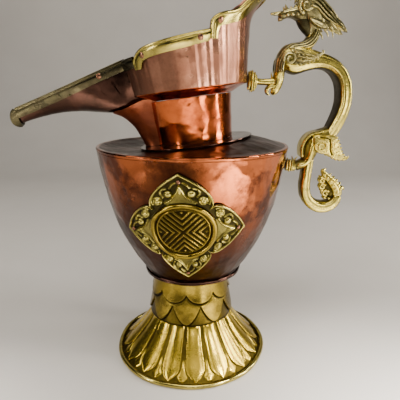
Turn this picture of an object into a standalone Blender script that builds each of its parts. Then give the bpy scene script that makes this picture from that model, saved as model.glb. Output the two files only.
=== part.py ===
"""Monk's cap ewer: a hammered copper vessel on a brass lotus foot, with a cast brass dragon handle.

The ewer stands on +Z, its spout towards -X and its handle towards +X. Lengths are in metres.
"""
import math

import bmesh
import bpy
from mathutils import Vector

# Sheet and fit
CLEARANCE = 0.0003
BAND_CLEARANCE = 0.0005
COPPER_SHEET = 0.0012
BRASS_SHEET = 0.0010
TURN_STEPS = 42

# Foot
FOOT_RADIUS = 0.0648
FOOT_SHIFT = 0.0020
BEAD_WIDTH = 0.0036
BEAD_HEIGHT = 0.0040
SKIRT_HEIGHT = 0.0352
WAIST_RADIUS = 0.0334
SKIRT_CURVE = 1.22
SKIRT_PETALS = 14
PETAL_TURN = math.radians(-85)
PETAL_RELIEF = 0.0016
LIP_RADIUS = 0.0352
FOOT_COLLAR_HEIGHT = 0.0378
FOOT_TOP_RADIUS = 0.0292
SCALES_PER_ROW = 9
SCALE_TURN = math.radians(5)
SCALE_RELIEF = 0.0011

# Body
BASE_RADIUS = 0.0390
BODY_RADIUS = 0.0746
WALL_HEIGHT = 0.0978
BODY_FULLNESS = 0.55
SEAM_RADIUS = 0.0014
SHOULDER_EDGE = 0.0036
SHOULDER_ROUND = 0.0045
SEAT_MARGIN = 0.0015

# Neck and cap, in the tilted frame of the neck flange
SEAT_OFFSET = 0.0025
SEAT_RISE = 0.0052
CAP_TILT = math.radians(7.2)
FLANGE_RADIUS = 0.0443
FLANGE_SHEET = 0.0010
NECK_BASE_RADIUS = 0.0292
NECK_TOP_RADIUS = 0.0324
NECK_HEIGHT = 0.0322
LEDGE_RISE = 0.0058
CAP_RADIUS = 0.0440
CAP_SLOPE = 0.135
FLARE_HEIGHT = 0.0450
FLARE_SLOPE = 0.90
FLARE_SOFTNESS = 0.0050
RIVET_RADIUS = 0.0021
RIVET_HEIGHT = 0.0011

# Cap rim and band edges: degrees from the handle side, height above the cap's lower edge
CROWN_EDGE = [
    ((66.6, 0.0287), (61.9, 0.0287)),
    ((66.2, 0.0345), (61.3, 0.0330)),
    ((65.2, 0.0398), (59.8, 0.0351)),
    ((61.0, 0.0425), (57.5, 0.0361)),
    ((55.0, 0.0439), (52.5, 0.0369)),
    ((46.0, 0.0451), (44.5, 0.0381)),
    ((40.0, 0.0479), (37.0, 0.0401)),
    ((35.0, 0.0523), (30.0, 0.0435)),
    ((29.0, 0.0565), (24.0, 0.0477)),
    ((19.0, 0.0617), (15.5, 0.0525)),
    ((8.0, 0.0651), (6.5, 0.0557)),
    ((0.0, 0.0660), (0.0, 0.0567)),
]
MIDDLE_EDGE = [
    ((132.5, 0.0165), (126.5, 0.0165)),
    ((133.2, 0.0215), (124.5, 0.0198)),
    ((129.8, 0.0251), (122.5, 0.0213)),
    ((125.7, 0.0276), (119.5, 0.0221)),
    ((120.0, 0.0293), (115.5, 0.0228)),
    ((105.0, 0.0311), (105.0, 0.0239)),
    ((90.0, 0.0324), (90.5, 0.0250)),
    ((75.0, 0.0337), (76.0, 0.0267)),
    ((67.6, 0.0343), (68.2, 0.0277)),
]
WALL_RIM = [
    (0.0, 0.0656), (8.0, 0.0647), (19.0, 0.0613), (29.0, 0.0561), (35.0, 0.0519), (40.0, 0.0475),
    (46.0, 0.0447), (55.0, 0.0435), (61.0, 0.0421), (65.2, 0.0393), (66.4, 0.0339), (75.0, 0.0333),
    (90.0, 0.0320), (105.0, 0.0307), (120.0, 0.0289), (125.7, 0.0272), (130.5, 0.0246), (141.0, 0.0244),
    (155.0, 0.0240),
]

# Spout, in the same tilted frame, lengths measured forward from the neck axis
# Keel: share of the way from root to tip, height above the cap's lower edge
# Throat: share of the neck's height, length in front of the neck's base
SPOUT_REACH = 0.1400
SPOUT_ROOT = 0.0340
SPOUT_TIP_HALF = 0.0060
SPOUT_ROOT_HALF = 0.0202
SPOUT_WALL_ROOT = 0.0365
SPOUT_RIM_RISE = 0.0249
SPOUT_RIM_SLOPE = 0.2500
SPOUT_SQUARE_END = 0.0460
SPOUT_ROUND_START = 0.0860
SPOUT_SQUARENESS = 8.0
SPOUT_ROUNDNESS = 2.0
SPOUT_BAND_WIDTH = 0.0088
SPOUT_BAND_START = 0.0065
TIP_LENGTH = 0.0080
TIP_DROP = 0.0035
TIP_FLARE = 0.0012
SPOUT_KEEL = [
    (0.0, -0.0048), (0.085, -0.0071), (0.18, -0.0094), (0.275, -0.0091), (0.49, -0.0054),
    (0.64, -0.0047), (0.79, -0.0061), (0.915, -0.0084), (1.0, -0.0114),
]
THROAT_FRONT = [
    (0.0, 0.0106), (0.09, 0.0115), (0.27, 0.0137), (0.45, 0.0159), (0.59, 0.0187), (0.77, 0.0237),
    (0.89, 0.0308),
]
THROAT_BASE_HALF = 0.0090
THROAT_TOP_HALF = 0.0192
THROAT_FLARE = 2.2

# Plaques
PLAQUE_RISE = 0.0500
PLAQUE_SHIFT = 0.0050
PLAQUE_LEAN = math.radians(2.5)
PLAQUE_SHEET = 0.0014
PLAQUE_LOBE = [
    (0.0182, 0.0182), (0.0216, 0.0193), (0.0262, 0.0174), (0.0325, 0.0124), (0.0382, 0.0062),
    (0.0408, 0.0028), (0.0436, 0.0000),
]
PLAQUE_RIVET_REACH = 0.0375
PLAQUE_RIVET_RADIUS = 0.0015
ROUNDEL_RADIUS = 0.0225
ROUNDEL_RIM = 0.0030
ROUNDEL_RIM_RISE = 0.0026

# Dragon handle, measured outward and up from where its hind claw meets the wall
HIND_DROP = 0.0138
HANDLE_STANDOFF = 0.0020
BODY_DEPTH = 0.0095
HAUNCH_DEPTH = 0.0086
FLAME_SHEET = 0.0030
ARCH_PATH = [
    (-0.0085, 0.0775, 0.0050, 0.60), (-0.0030, 0.0790, 0.0092, 0.85), (0.0035, 0.0800, 0.0108, 0.95),
    (0.0115, 0.0800, 0.0086, 1.0), (0.0195, 0.0793, 0.0064, 1.0), (0.0265, 0.0780, 0.0051, 1.0),
    (0.0325, 0.0750, 0.0044, 1.0), (0.0377, 0.0697, 0.0042, 1.0), (0.0412, 0.0620, 0.0042, 1.0),
    (0.0425, 0.0525, 0.0042, 1.0), (0.0417, 0.0440, 0.0043, 1.0), (0.0388, 0.0350, 0.0045, 0.94),
    (0.0350, 0.0275, 0.0050, 0.88),
]
NECK_PATH = [
    (0.0075, 0.0850, 0.0062, 0.72), (0.0140, 0.0915, 0.0058, 0.66), (0.0178, 0.0975, 0.0050, 0.62),
    (0.0185, 0.1025, 0.0050, 0.62),
]
HEAD_PATH = [
    (0.0187, 0.1015, 0.0058, 0.70), (0.0175, 0.1105, 0.0086, 0.86), (0.0125, 0.1195, 0.0092, 0.90),
    (0.0062, 0.1250, 0.0068, 0.80), (-0.0005, 0.1282, 0.0050, 0.66), (-0.0052, 0.1293, 0.0030, 0.50),
]
JAW_PATH = [
    (0.0120, 0.1092, 0.0030, 0.64), (0.0040, 0.1098, 0.0032, 0.64), (-0.0020, 0.1100, 0.0029, 0.54),
    (-0.0085, 0.1104, 0.0020, 0.38), (-0.0140, 0.1118, 0.0010, 0.20), (-0.0160, 0.1126, 0.0006, 0.12),
]
HORN_PATH = [
    (0.0120, 0.1295, 0.0022), (0.0160, 0.1335, 0.0019), (0.0195, 0.1390, 0.0014), (0.0205, 0.1450, 0.0006),
]
HORN_SPREAD = 0.0042
FORELEG_PATH = [
    (-0.0070, 0.0740, 0.0036, 0.46), (-0.0088, 0.0665, 0.0037, 0.46), (-0.0092, 0.0600, 0.0035, 0.44),
    (-0.0110, 0.0560, 0.0024, 0.38), (-0.0145, 0.0536, 0.0009, 0.24),
]
FOREARM_HEIGHT = 0.0640
FOREARM_HALF = 0.0026
CLAW_HEIGHT = 0.0150
CLAW_LENGTH = 0.0060
CLAW_HALF = 0.0060
HIND_LEG_PATH = [
    (0.0340, 0.0250, 0.0058, 0.86), (0.0285, 0.0175, 0.0078, 0.90), (0.0235, 0.0110, 0.0066, 0.78),
    (0.0190, 0.0035, 0.0046, 0.62), (0.0130, -0.0005, 0.0038, 0.55), (0.0082, -0.0010, 0.0037, 0.55),
]
HIND_CLAW_HALF = 0.0062
TAIL_PATH = [
    (0.0180, 0.0010, 0.0038, 0.56), (0.0170, -0.0100, 0.0045, 0.74), (0.0162, -0.0185, 0.0047, 0.76),
    (0.0178, -0.0255, 0.0049, 0.76), (0.0220, -0.0320, 0.0050, 0.76), (0.0285, -0.0356, 0.0053, 0.76),
    (0.0350, -0.0357, 0.0051, 0.72), (0.0402, -0.0335, 0.0046, 0.66), (0.0432, -0.0298, 0.0038, 0.58),
]
TUFT_OUTLINE = [
    (0.0345, -0.0330), (0.0305, -0.0240), (0.0290, -0.0165), (0.0300, -0.0090), (0.0350, -0.0040),
    (0.0342, -0.0090), (0.0362, -0.0118), (0.0398, -0.0112), (0.0450, -0.0155), (0.0500, -0.0200),
    (0.0470, -0.0214), (0.0458, -0.0242), (0.0425, -0.0250), (0.0385, -0.0286),
]
TUFT_HALF = 0.0042
WING_OUTLINE = [
    (-0.0035, 0.0760), (-0.0020, 0.0830), (0.0020, 0.0868), (0.0090, 0.0868), (0.0165, 0.0842),
    (0.0242, 0.0850), (0.0215, 0.0800), (0.0188, 0.0806), (0.0168, 0.0770), (0.0132, 0.0782),
    (0.0108, 0.0752), (0.0072, 0.0766), (0.0044, 0.0736), (0.0005, 0.0726),
]
HAUNCH_OUTLINE = [
    (0.0240, 0.0240), (0.0320, 0.0250), (0.0392, 0.0232), (0.0432, 0.0175), (0.0455, 0.0130),
    (0.0472, 0.0072), (0.0440, 0.0042), (0.0392, 0.0044), (0.0350, 0.0068), (0.0302, 0.0098),
    (0.0245, 0.0110), (0.0212, 0.0175),
]
MANE_OUTLINE = [
    (0.0130, 0.1330), (0.0190, 0.1262), (0.0215, 0.1210), (0.0304, 0.1105), (0.0376, 0.1028),
    (0.0394, 0.0984), (0.0352, 0.1010), (0.0326, 0.1002), (0.0290, 0.1036), (0.0250, 0.1002),
    (0.0212, 0.1050), (0.0180, 0.1110), (0.0120, 0.1170),
]

# Heights and placing that follow
FOOT_COLLAR_BASE = SKIRT_HEIGHT + CLEARANCE
FOOT_TOP = FOOT_COLLAR_BASE + FOOT_COLLAR_HEIGHT
SEAM_HEIGHT = FOOT_TOP + CLEARANCE + SEAM_RADIUS
WALL_BASE = SEAM_HEIGHT + SEAM_RADIUS + CLEARANCE
WALL_TOP = WALL_BASE + WALL_HEIGHT
SHOULDER_TOP = WALL_TOP + SHOULDER_EDGE
SEAT_HEIGHT = WALL_TOP + SEAT_RISE
NECK_BASE = FLANGE_SHEET + CLEARANCE
NECK_TOP = NECK_BASE + NECK_HEIGHT
LEDGE_BASE = NECK_TOP + CLEARANCE
CAP_BASE = LEDGE_BASE + LEDGE_RISE
FRONT_HALF = SPOUT_ROOT_HALF + COPPER_SHEET / 2 + CLEARANCE * 2
BAND_OFFSET = COPPER_SHEET / 2 + BAND_CLEARANCE
HIND_HEIGHT = WALL_TOP - HIND_DROP
PLAQUE_HEIGHT = WALL_BASE + PLAQUE_RISE


def clear_scene():
    """Removes every object of the scene."""
    for item in list(bpy.data.objects):
        bpy.data.objects.remove(item, do_unlink=True)


def make_finish(name, colour, roughness):
    """Makes a metal material from a linear colour and a roughness."""
    finish = bpy.data.materials.new(name)
    finish.use_nodes = True
    shader = finish.node_tree.nodes["Principled BSDF"]
    shader.inputs["Base Color"].default_value = (*colour, 1.0)
    shader.inputs["Metallic"].default_value = 1.0
    shader.inputs["Roughness"].default_value = roughness
    return finish


def solid(name, mesh_data, parent, finish):
    """Turns an edit mesh into a named object with outward faces, under a parent."""
    bmesh.ops.recalc_face_normals(mesh_data, faces=mesh_data.faces)
    mesh = bpy.data.meshes.new(name)
    mesh_data.to_mesh(mesh)
    mesh_data.free()
    mesh.shade_smooth()
    mesh.set_sharp_from_angle(angle=math.radians(35))
    mesh.materials.append(finish.copy())
    item = bpy.data.objects.new(name, mesh)
    bpy.context.collection.objects.link(item)
    item.parent = parent
    return item


def turned(name, profile, parent, finish, relief=None):
    """Spins a closed outline of (radius, height) points into a ring, then shifts it by a relief rule."""
    shape = bmesh.new()
    points = [shape.verts.new((radius, 0.0, height)) for radius, height in profile]
    edges = [shape.edges.new(pair) for pair in zip(points, points[1:] + points[:1])]
    bmesh.ops.spin(
        shape, geom=points + edges, cent=(0, 0, 0), axis=(0, 0, 1), angle=math.tau, steps=TURN_STEPS,
        use_merge=True)
    if relief:
        for point in shape.verts:
            point.co = relief(point.co)
    return solid(name, shape, parent, finish)


def swept(name, loops, parent, finish):
    """Joins loops of equal length into a body with flat ends."""
    shape = bmesh.new()
    rings = [[shape.verts.new(point) for point in loop] for loop in loops]
    count = len(rings[0])
    for near, far in zip(rings, rings[1:]):
        for index in range(count):
            after = (index + 1) % count
            shape.faces.new((near[index], near[after], far[after], far[index]))
    shape.faces.new(rings[0])
    shape.faces.new(rings[-1])
    return solid(name, shape, parent, finish)


def plate(name, outline, low, high, parent, finish):
    """Extrudes a flat outline of (x, z) points between two depths."""
    shape = bmesh.new()
    face = shape.faces.new([shape.verts.new((x, low, z)) for x, z in outline])
    grown = bmesh.ops.extrude_face_region(shape, geom=[face])
    moved = [item for item in grown["geom"] if isinstance(item, bmesh.types.BMVert)]
    bmesh.ops.translate(shape, verts=moved, vec=(0, high - low, 0))
    return solid(name, shape, parent, finish)


def rivet(name, place, outward, radius, parent, finish):
    """Makes a low rounded rivet head whose flat back sits at a place and whose top faces outward."""
    shape = bmesh.new()
    bmesh.ops.create_cone(
        shape, cap_ends=True, segments=10, radius1=radius, radius2=radius * 0.55, depth=RIVET_HEIGHT)
    turn = Vector((0, 0, 1)).rotation_difference(outward)
    bmesh.ops.rotate(shape, cent=(0, 0, 0), matrix=turn.to_matrix(), verts=shape.verts)
    bmesh.ops.translate(shape, verts=shape.verts, vec=place + outward * (RIVET_HEIGHT / 2))
    return solid(name, shape, parent, finish)


def between(table, key):
    """Reads a value from (key, value) rows in rising order, in straight steps."""
    for (low, first), (high, second) in zip(table, table[1:]):
        if key <= high:
            share = max(0.0, (key - low) / (high - low))
            return first + (second - first) * share
    return table[-1][1]


def smooth_path(points, steps=2):
    """Adds points between the given ones on a smooth curve through them all."""
    rows = [Vector(row) for row in points]
    rows = [rows[0] * 2 - rows[1]] + rows + [rows[-1] * 2 - rows[-2]]
    result = []
    for a, b, c, d in zip(rows, rows[1:], rows[2:], rows[3:]):
        for step in range(steps):
            t = step / steps
            curve = b * 2 + (c - a) * t + (a * 2 - b * 5 + c * 4 - d) * t**2 + (b * 3 - a - c * 3 + d) * t**3
            result.append(curve * 0.5)
    return result + [rows[-2]]


def limb(name, path, parent, finish, sides=10, spread=0.0, grow=0.0):
    """Sweeps a flat-sided oval along a path of (x, z, half thickness, share of the depth)."""
    rows = smooth_path(path)
    loops = []
    for index, row in enumerate(rows):
        ahead = rows[min(index + 1, len(rows) - 1)] - rows[max(index - 1, 0)]
        run = math.hypot(ahead[0], ahead[1])
        across = Vector((-ahead[1] / run, 0, ahead[0] / run))
        depth = row[3] * BODY_DEPTH if len(row) > 3 else row[2]
        loop = []
        for side in range(sides):
            angle = math.tau * (side + 0.5) / sides
            out = math.copysign(abs(math.cos(angle)) ** 0.7, math.cos(angle)) * (row[2] + grow)
            deep = math.copysign(abs(math.sin(angle)) ** 0.7, math.sin(angle)) * (depth + grow)
            loop.append(Vector((row[0], spread + deep, row[1])) + across * out)
        loops.append(loop)
    return swept(name, loops, parent, finish)


def seat_on(item, path, parent, finish, sides=10):
    """Cuts an item where it meets a limb, so that it seats on that limb with a clearance."""
    cutter = limb(item.name + "_seat", path, parent, finish, sides=sides, grow=CLEARANCE)
    cutter.hide_render = True
    cutter.display_type = "WIRE"
    cut = item.modifiers.new("seat", "BOOLEAN")
    cut.operation = "DIFFERENCE"
    cut.object = cutter


def wall_radius(height):
    """Gives the wall's outer radius: a rounded rise blended with a straight taper."""
    share = (height - WALL_BASE) / WALL_HEIGHT
    fullness = BODY_FULLNESS * (1 - (1 - share) ** 3) + (1 - BODY_FULLNESS) * share
    return BASE_RADIUS + (BODY_RADIUS - BASE_RADIUS) * fullness


def cap_radius(rise):
    """Gives the cap's middle radius above its lower edge: a cone that flares at the top."""
    above = rise - FLARE_HEIGHT
    flare = FLARE_SLOPE * (above + math.hypot(above, FLARE_SOFTNESS)) / 2
    return CAP_RADIUS + CAP_SLOPE * rise + flare


def cap_point(angle, rise, offset=0.0):
    """Gives a point on the cap at an angle in degrees from the handle side, moved out by an offset."""
    step = 0.0001
    slope = (cap_radius(rise + step) - cap_radius(rise - step)) / (2 * step)
    length = math.hypot(1, slope)
    radius = cap_radius(rise) + offset / length
    turn = math.radians(angle)
    height = CAP_BASE + rise - offset * slope / length
    return Vector((radius * math.cos(turn), radius * math.sin(turn), height))


def spout_half(forward):
    """Gives the gutter's half width at a distance forward of the neck axis."""
    share = min(1.0, max(0.0, (forward - CAP_RADIUS) / (SPOUT_REACH - CAP_RADIUS)))
    return SPOUT_ROOT_HALF + (SPOUT_TIP_HALF - SPOUT_ROOT_HALF) * share


def spout_rim(forward):
    """Gives the gutter's rim height, which drops in a round nose at the tip."""
    nose = max(0.0, forward - (SPOUT_REACH - TIP_LENGTH)) / TIP_LENGTH
    return CAP_BASE + SPOUT_RIM_RISE - SPOUT_RIM_SLOPE * (forward - CAP_RADIUS) - TIP_DROP * nose**2


def spout_keel(forward):
    """Gives the height of the gutter's lowest line."""
    return CAP_BASE + between(SPOUT_KEEL, (forward - SPOUT_ROOT) / (SPOUT_REACH - SPOUT_ROOT))


def spout_power(forward):
    """Gives the section's power: a square-sided trough at the root that turns into a round keel."""
    share = (forward - SPOUT_SQUARE_END) / (SPOUT_ROUND_START - SPOUT_SQUARE_END)
    return SPOUT_SQUARENESS + (SPOUT_ROUNDNESS - SPOUT_SQUARENESS) * min(1.0, max(0.0, share))


def spout_point(forward, side, offset=0.0):
    """Gives a point of the gutter's section, side from -1 to 1, moved out by an offset."""
    half = spout_half(forward)
    keel = spout_keel(forward)
    depth = spout_rim(forward) - keel
    power = spout_power(forward)
    slope = power * depth * math.copysign(abs(side) ** (power - 1), side) / half
    length = math.hypot(1, slope)
    across = half * side + offset * slope / length
    return Vector((-forward, across, keel + depth * abs(side) ** power - offset / length))


def spout_root(side):
    """Gives where the gutter starts: its floor at the neck's mouth, its walls inside the cap's front edges."""
    floor = math.sqrt(SPOUT_ROOT**2 - (SPOUT_ROOT_HALF * side) ** 2)
    return SPOUT_WALL_ROOT if abs(side) > 0.9 else floor


def build_foot(seat, brass):
    """Builds the bead, the petalled skirt and the scaled collar of the foot."""
    inner = FOOT_RADIUS - BEAD_WIDTH
    bead = [
        (inner, 0.0), (inner, BEAD_HEIGHT * 0.7), (inner + BEAD_WIDTH * 0.3, BEAD_HEIGHT),
        (inner + BEAD_WIDTH * 0.7, BEAD_HEIGHT), (FOOT_RADIUS, BEAD_HEIGHT * 0.6),
        (FOOT_RADIUS - BEAD_WIDTH * 0.15, 0.0),
    ]
    turned("foot_bead", bead, seat, brass)

    edge = inner - CLEARANCE
    rise = SKIRT_HEIGHT - BEAD_HEIGHT * 0.5
    outer = []
    for step in range(8):
        share = step / 7
        spread = (1 - share) ** SKIRT_CURVE
        outer.append((WAIST_RADIUS + (edge - WAIST_RADIUS) * spread, BEAD_HEIGHT * 0.5 + rise * share))
    under = [(radius - BRASS_SHEET * 1.3, height - BRASS_SHEET * 0.2) for radius, height in reversed(outer)]
    under[-1] = (edge - BRASS_SHEET * 1.3, BEAD_HEIGHT * 0.2)

    def petals(place):
        radius = math.hypot(place.x, place.y)
        low = min(1.0, max(0.0, (place.z - BEAD_HEIGHT) / (SKIRT_HEIGHT - BEAD_HEIGHT)))
        swell = math.sin(math.pi * low) ** 0.6
        wave = abs(math.cos((math.atan2(place.y, place.x) - PETAL_TURN) * SKIRT_PETALS / 2))
        grown = 1 + PETAL_RELIEF * swell * (wave - 0.5) / radius
        return Vector((place.x * grown, place.y * grown, place.z))

    turned("foot_skirt", outer + under, seat, brass, petals)

    base = FOOT_COLLAR_BASE
    height = FOOT_COLLAR_HEIGHT
    face = [
        (LIP_RADIUS, base), (LIP_RADIUS, base + BRASS_SHEET), (LIP_RADIUS - 0.0008, base + height * 0.2),
        (LIP_RADIUS - 0.0022, base + height * 0.42), (LIP_RADIUS - 0.0042, base + height * 0.68),
        (FOOT_TOP_RADIUS, base + height),
    ]
    back = [(radius - BRASS_SHEET * 1.4, level) for radius, level in reversed(face)]

    def scales(place):
        radius = math.hypot(place.x, place.y)
        share = (place.z - base) / height
        angle = (math.atan2(place.y, place.x) - SCALE_TURN) * SCALES_PER_ROW
        swell = math.sin(math.pi * share)
        wave = math.cos(angle) if share > 0.5 else -math.cos(angle)
        grown = 1 + SCALE_RELIEF * swell * wave * 0.5 / radius
        return Vector((place.x * grown, place.y * grown, place.z))

    turned("foot_collar", face + back, seat, brass, scales)


def build_body(root, copper):
    """Builds the seam ring, the floor, the wall and the shoulder plate of the vessel."""
    seam = []
    for step in range(6):
        angle = math.tau * (step + 0.5) / 6
        radius = BASE_RADIUS + SEAM_RADIUS * math.cos(angle)
        seam.append((radius, SEAM_HEIGHT + SEAM_RADIUS * math.sin(angle)))
    turned("base_seam_ring", seam, root, copper)

    floor_radius = BASE_RADIUS - SEAM_RADIUS - CLEARANCE
    shape = bmesh.new()
    bmesh.ops.create_cone(
        shape, cap_ends=True, segments=TURN_STEPS, radius1=floor_radius, radius2=floor_radius,
        depth=COPPER_SHEET)
    bmesh.ops.translate(shape, verts=shape.verts, vec=(0, 0, FOOT_TOP + CLEARANCE + COPPER_SHEET / 2))
    solid("body_floor", shape, root, copper)

    levels = [WALL_BASE + WALL_HEIGHT * share for share in (0, 0.08, 0.2, 0.34, 0.5, 0.7, 1.0)]
    outside = [(wall_radius(level), level) for level in levels]
    inside = [(radius - COPPER_SHEET, level) for radius, level in reversed(outside)]
    turned("body_wall", outside + inside, root, copper)

    under = WALL_TOP + CLEARANCE
    seat = SEAT_HEIGHT - CLEARANCE * 1.5 - SEAT_OFFSET * math.tan(CAP_TILT)
    seat_radius = FLANGE_RADIUS + SEAT_MARGIN
    bore = NECK_BASE_RADIUS - COPPER_SHEET
    rim = BODY_RADIUS - SHOULDER_ROUND
    profile = [
        (BODY_RADIUS - COPPER_SHEET, under), (BODY_RADIUS, under),
        (BODY_RADIUS + SHOULDER_ROUND * 0.05, under + SHOULDER_EDGE * 0.35),
        (BODY_RADIUS - SHOULDER_ROUND * 0.27, SHOULDER_TOP - SHOULDER_EDGE * 0.1),
        (BODY_RADIUS - SHOULDER_ROUND * 0.62, SHOULDER_TOP + CLEARANCE), (rim, SHOULDER_TOP + CLEARANCE),
        (seat_radius, seat), (bore, seat), (bore, seat - COPPER_SHEET),
        (seat_radius, seat - COPPER_SHEET), (rim, SHOULDER_TOP - COPPER_SHEET),
        (BODY_RADIUS - COPPER_SHEET, SHOULDER_TOP - COPPER_SHEET * 1.4),
    ]

    def lean(place):
        radius = math.hypot(place.x, place.y)
        share = min(1.0, max(0.0, (rim - radius) / (rim - seat_radius)))
        return Vector((place.x, place.y, place.z + place.x * math.tan(CAP_TILT) * share))

    turned("shoulder_plate", profile, root, copper, lean)


def build_neck(seat, copper):
    """Builds the flange, the neck and the sloping ledge under the cap."""
    bore = NECK_BASE_RADIUS - COPPER_SHEET
    flange = [(bore, 0.0), (FLANGE_RADIUS, 0.0), (FLANGE_RADIUS, FLANGE_SHEET), (bore, FLANGE_SHEET)]
    turned("neck_flange", flange, seat, copper)

    swell = (NECK_TOP_RADIUS - NECK_BASE_RADIUS) * 0.3
    middle = NECK_BASE + NECK_HEIGHT * 0.4
    neck = [
        (NECK_BASE_RADIUS, NECK_BASE), (NECK_BASE_RADIUS + swell, middle), (NECK_TOP_RADIUS, NECK_TOP),
        (NECK_TOP_RADIUS - COPPER_SHEET, NECK_TOP), (NECK_BASE_RADIUS + swell - COPPER_SHEET, middle),
        (bore, NECK_BASE),
    ]
    turned("neck_tube", neck, seat, copper)

    rows = [
        (NECK_TOP_RADIUS - COPPER_SHEET, LEDGE_BASE), (NECK_TOP_RADIUS, LEDGE_BASE),
        (CAP_RADIUS + COPPER_SHEET / 2, CAP_BASE - CLEARANCE - COPPER_SHEET * 0.5),
        (CAP_RADIUS + COPPER_SHEET / 2, CAP_BASE - CLEARANCE),
        (CAP_RADIUS - COPPER_SHEET, CAP_BASE - CLEARANCE),
    ]
    loops = []
    for step in range(37):
        loop = []
        for radius, height in rows:
            half = 180 - math.degrees(math.asin(FRONT_HALF / radius))
            angle = math.radians(half * (step / 18 - 1))
            loop.append((radius * math.cos(angle), radius * math.sin(angle), height))
        loops.append(loop)
    swept("collar_ledge", loops, seat, copper)


def build_cap(seat, copper):
    """Builds the cap's wall, whose rim steps up from the spout to a flared crest over the handle."""
    half_angles = [
        150, 141, 130.5, 125.7, 120, 112.5, 105, 97.5, 90, 82.5, 75, 66.4, 65.2, 61, 55, 50.5, 46, 43, 40,
        37.5, 35, 32, 29, 24, 19, 13.5, 8, 4,
    ]
    angles = half_angles + [0] + [-angle for angle in reversed(half_angles)]
    loops = []
    for index, angle in enumerate(angles):
        top = between(WALL_RIM, abs(angle))
        outside, inside = [], []
        for share in (0.0, 0.35, 0.6, 0.68, 0.76, 0.84, 0.92, 1.0):
            rise = top * share
            turn = angle
            if index in (0, len(angles) - 1):
                turn = math.copysign(180 - math.degrees(math.asin(FRONT_HALF / cap_radius(rise))), angle)
            outside.append(cap_point(turn, rise, COPPER_SHEET / 2))
            inside.append(cap_point(turn, rise, -COPPER_SHEET / 2))
        loops.append(outside + inside[::-1])
    swept("collar_wall", loops, seat, copper)


def band_loops(edge, side):
    """Makes the loops of a strip on the cap's outside, between its rim edge and its lower edge."""
    pairs = [(Vector(rim), Vector(low)) for rim, low in edge]
    finer = []
    for (rim, low), (next_rim, next_low) in zip(pairs, pairs[1:]):
        finer += [(rim, low), ((rim + next_rim) / 2, (low + next_low) / 2)]
    loops = []
    for rim, low in finer + pairs[-1:]:
        row = [low.lerp(rim, share) for share in (0.0, 0.25, 0.5, 0.75, 1.0)]
        near = [cap_point(side * angle, rise, BAND_OFFSET) for angle, rise in row]
        far = [cap_point(side * angle, rise, BAND_OFFSET + BRASS_SHEET) for angle, rise in reversed(row)]
        loops.append(near + far)
    return loops


def build_bands(seat, brass, copper):
    """Builds the brass strips along the cap's rim, with their rivets."""
    crown = band_loops(CROWN_EDGE, 1) + band_loops(CROWN_EDGE[::-1], -1)[1:]
    swept("crown_band", crown, seat, brass)
    face = BAND_OFFSET + BRASS_SHEET + CLEARANCE
    rows = [("crown", CROWN_EDGE, 3), ("middle_front", MIDDLE_EDGE, 3), ("middle_rear", MIDDLE_EDGE, 7)]
    for label, side in (("left", -1), ("right", 1)):
        swept("middle_band_" + label, band_loops(MIDDLE_EDGE, side), seat, brass)
        for title, edge, index in rows:
            rim, low = edge[index]
            angle = side * (rim[0] + low[0]) / 2
            rise = (rim[1] + low[1]) / 2
            place = cap_point(angle, rise, face)
            outward = (cap_point(angle, rise, face + RIVET_HEIGHT) - place).normalized()
            rivet("rivet_" + title + "_" + label, place, outward, RIVET_RADIUS, seat, copper)


def build_spout(seat, copper, brass):
    """Builds the gutter, the throat under it, its brass edging and the edged tip."""
    half_sides = [0.3, 0.6, 0.78, 0.88, 0.95, 1.0]
    sides = [-side for side in reversed(half_sides)] + [0.0] + half_sides
    loops = []
    for share in (0.0, 0.05, 0.1, 0.18, 0.26, 0.34, 0.42, 0.5, 0.6, 0.7, 0.8, 0.9, 1.0):
        places = []
        for side in sides:
            root = spout_root(side)
            places.append((root + (SPOUT_REACH - CLEARANCE - root) * share, side))
        outside = [spout_point(forward, side, COPPER_SHEET / 2) for forward, side in places]
        inside = [spout_point(forward, side, -COPPER_SHEET / 2) for forward, side in reversed(places)]
        loops.append(outside + inside)
    swept("spout_gutter", loops, seat, copper)

    sleeve_start = SPOUT_REACH - TIP_LENGTH
    loops = []
    for share in (0.0, 0.35, 0.7, 1.0):
        forward = sleeve_start + TIP_LENGTH * share
        grown = BAND_OFFSET + BRASS_SHEET + TIP_FLARE * share
        outside = [spout_point(forward, side, grown) for side in sides]
        inside = [spout_point(forward, side, BAND_OFFSET) for side in reversed(sides)]
        loops.append(outside + inside)
    swept("spout_tip", loops, seat, brass)

    start = CAP_RADIUS + SPOUT_BAND_START
    stops = [start + (sleeve_start - CLEARANCE - start) * step / 7 for step in range(8)]
    for label, side in (("left", -1), ("right", 1)):
        loops = []
        for forward in stops:
            depth = spout_rim(forward) - spout_keel(forward)
            low = max(0.04, 1 - SPOUT_BAND_WIDTH / depth) ** (1 / spout_power(forward))
            row = [side * low, side * (1 + low) / 2, side]
            near = [spout_point(forward, place, BAND_OFFSET) for place in row]
            far = [spout_point(forward, place, BAND_OFFSET + BRASS_SHEET) for place in reversed(row)]
            loops.append(near + far)
        swept("spout_band_" + label, loops, seat, brass)
        forward = stops[1]
        depth = spout_rim(forward) - spout_keel(forward)
        middle = side * (1 - SPOUT_BAND_WIDTH * 0.5 / depth) ** (1 / spout_power(forward))
        face = BAND_OFFSET + BRASS_SHEET + CLEARANCE
        place = spout_point(forward, middle, face)
        outward = (spout_point(forward, middle, face + RIVET_HEIGHT) - place).normalized()
        rivet("rivet_spout_" + label, place, outward, RIVET_RADIUS, seat, copper)

    build_throat(seat, copper)


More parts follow.
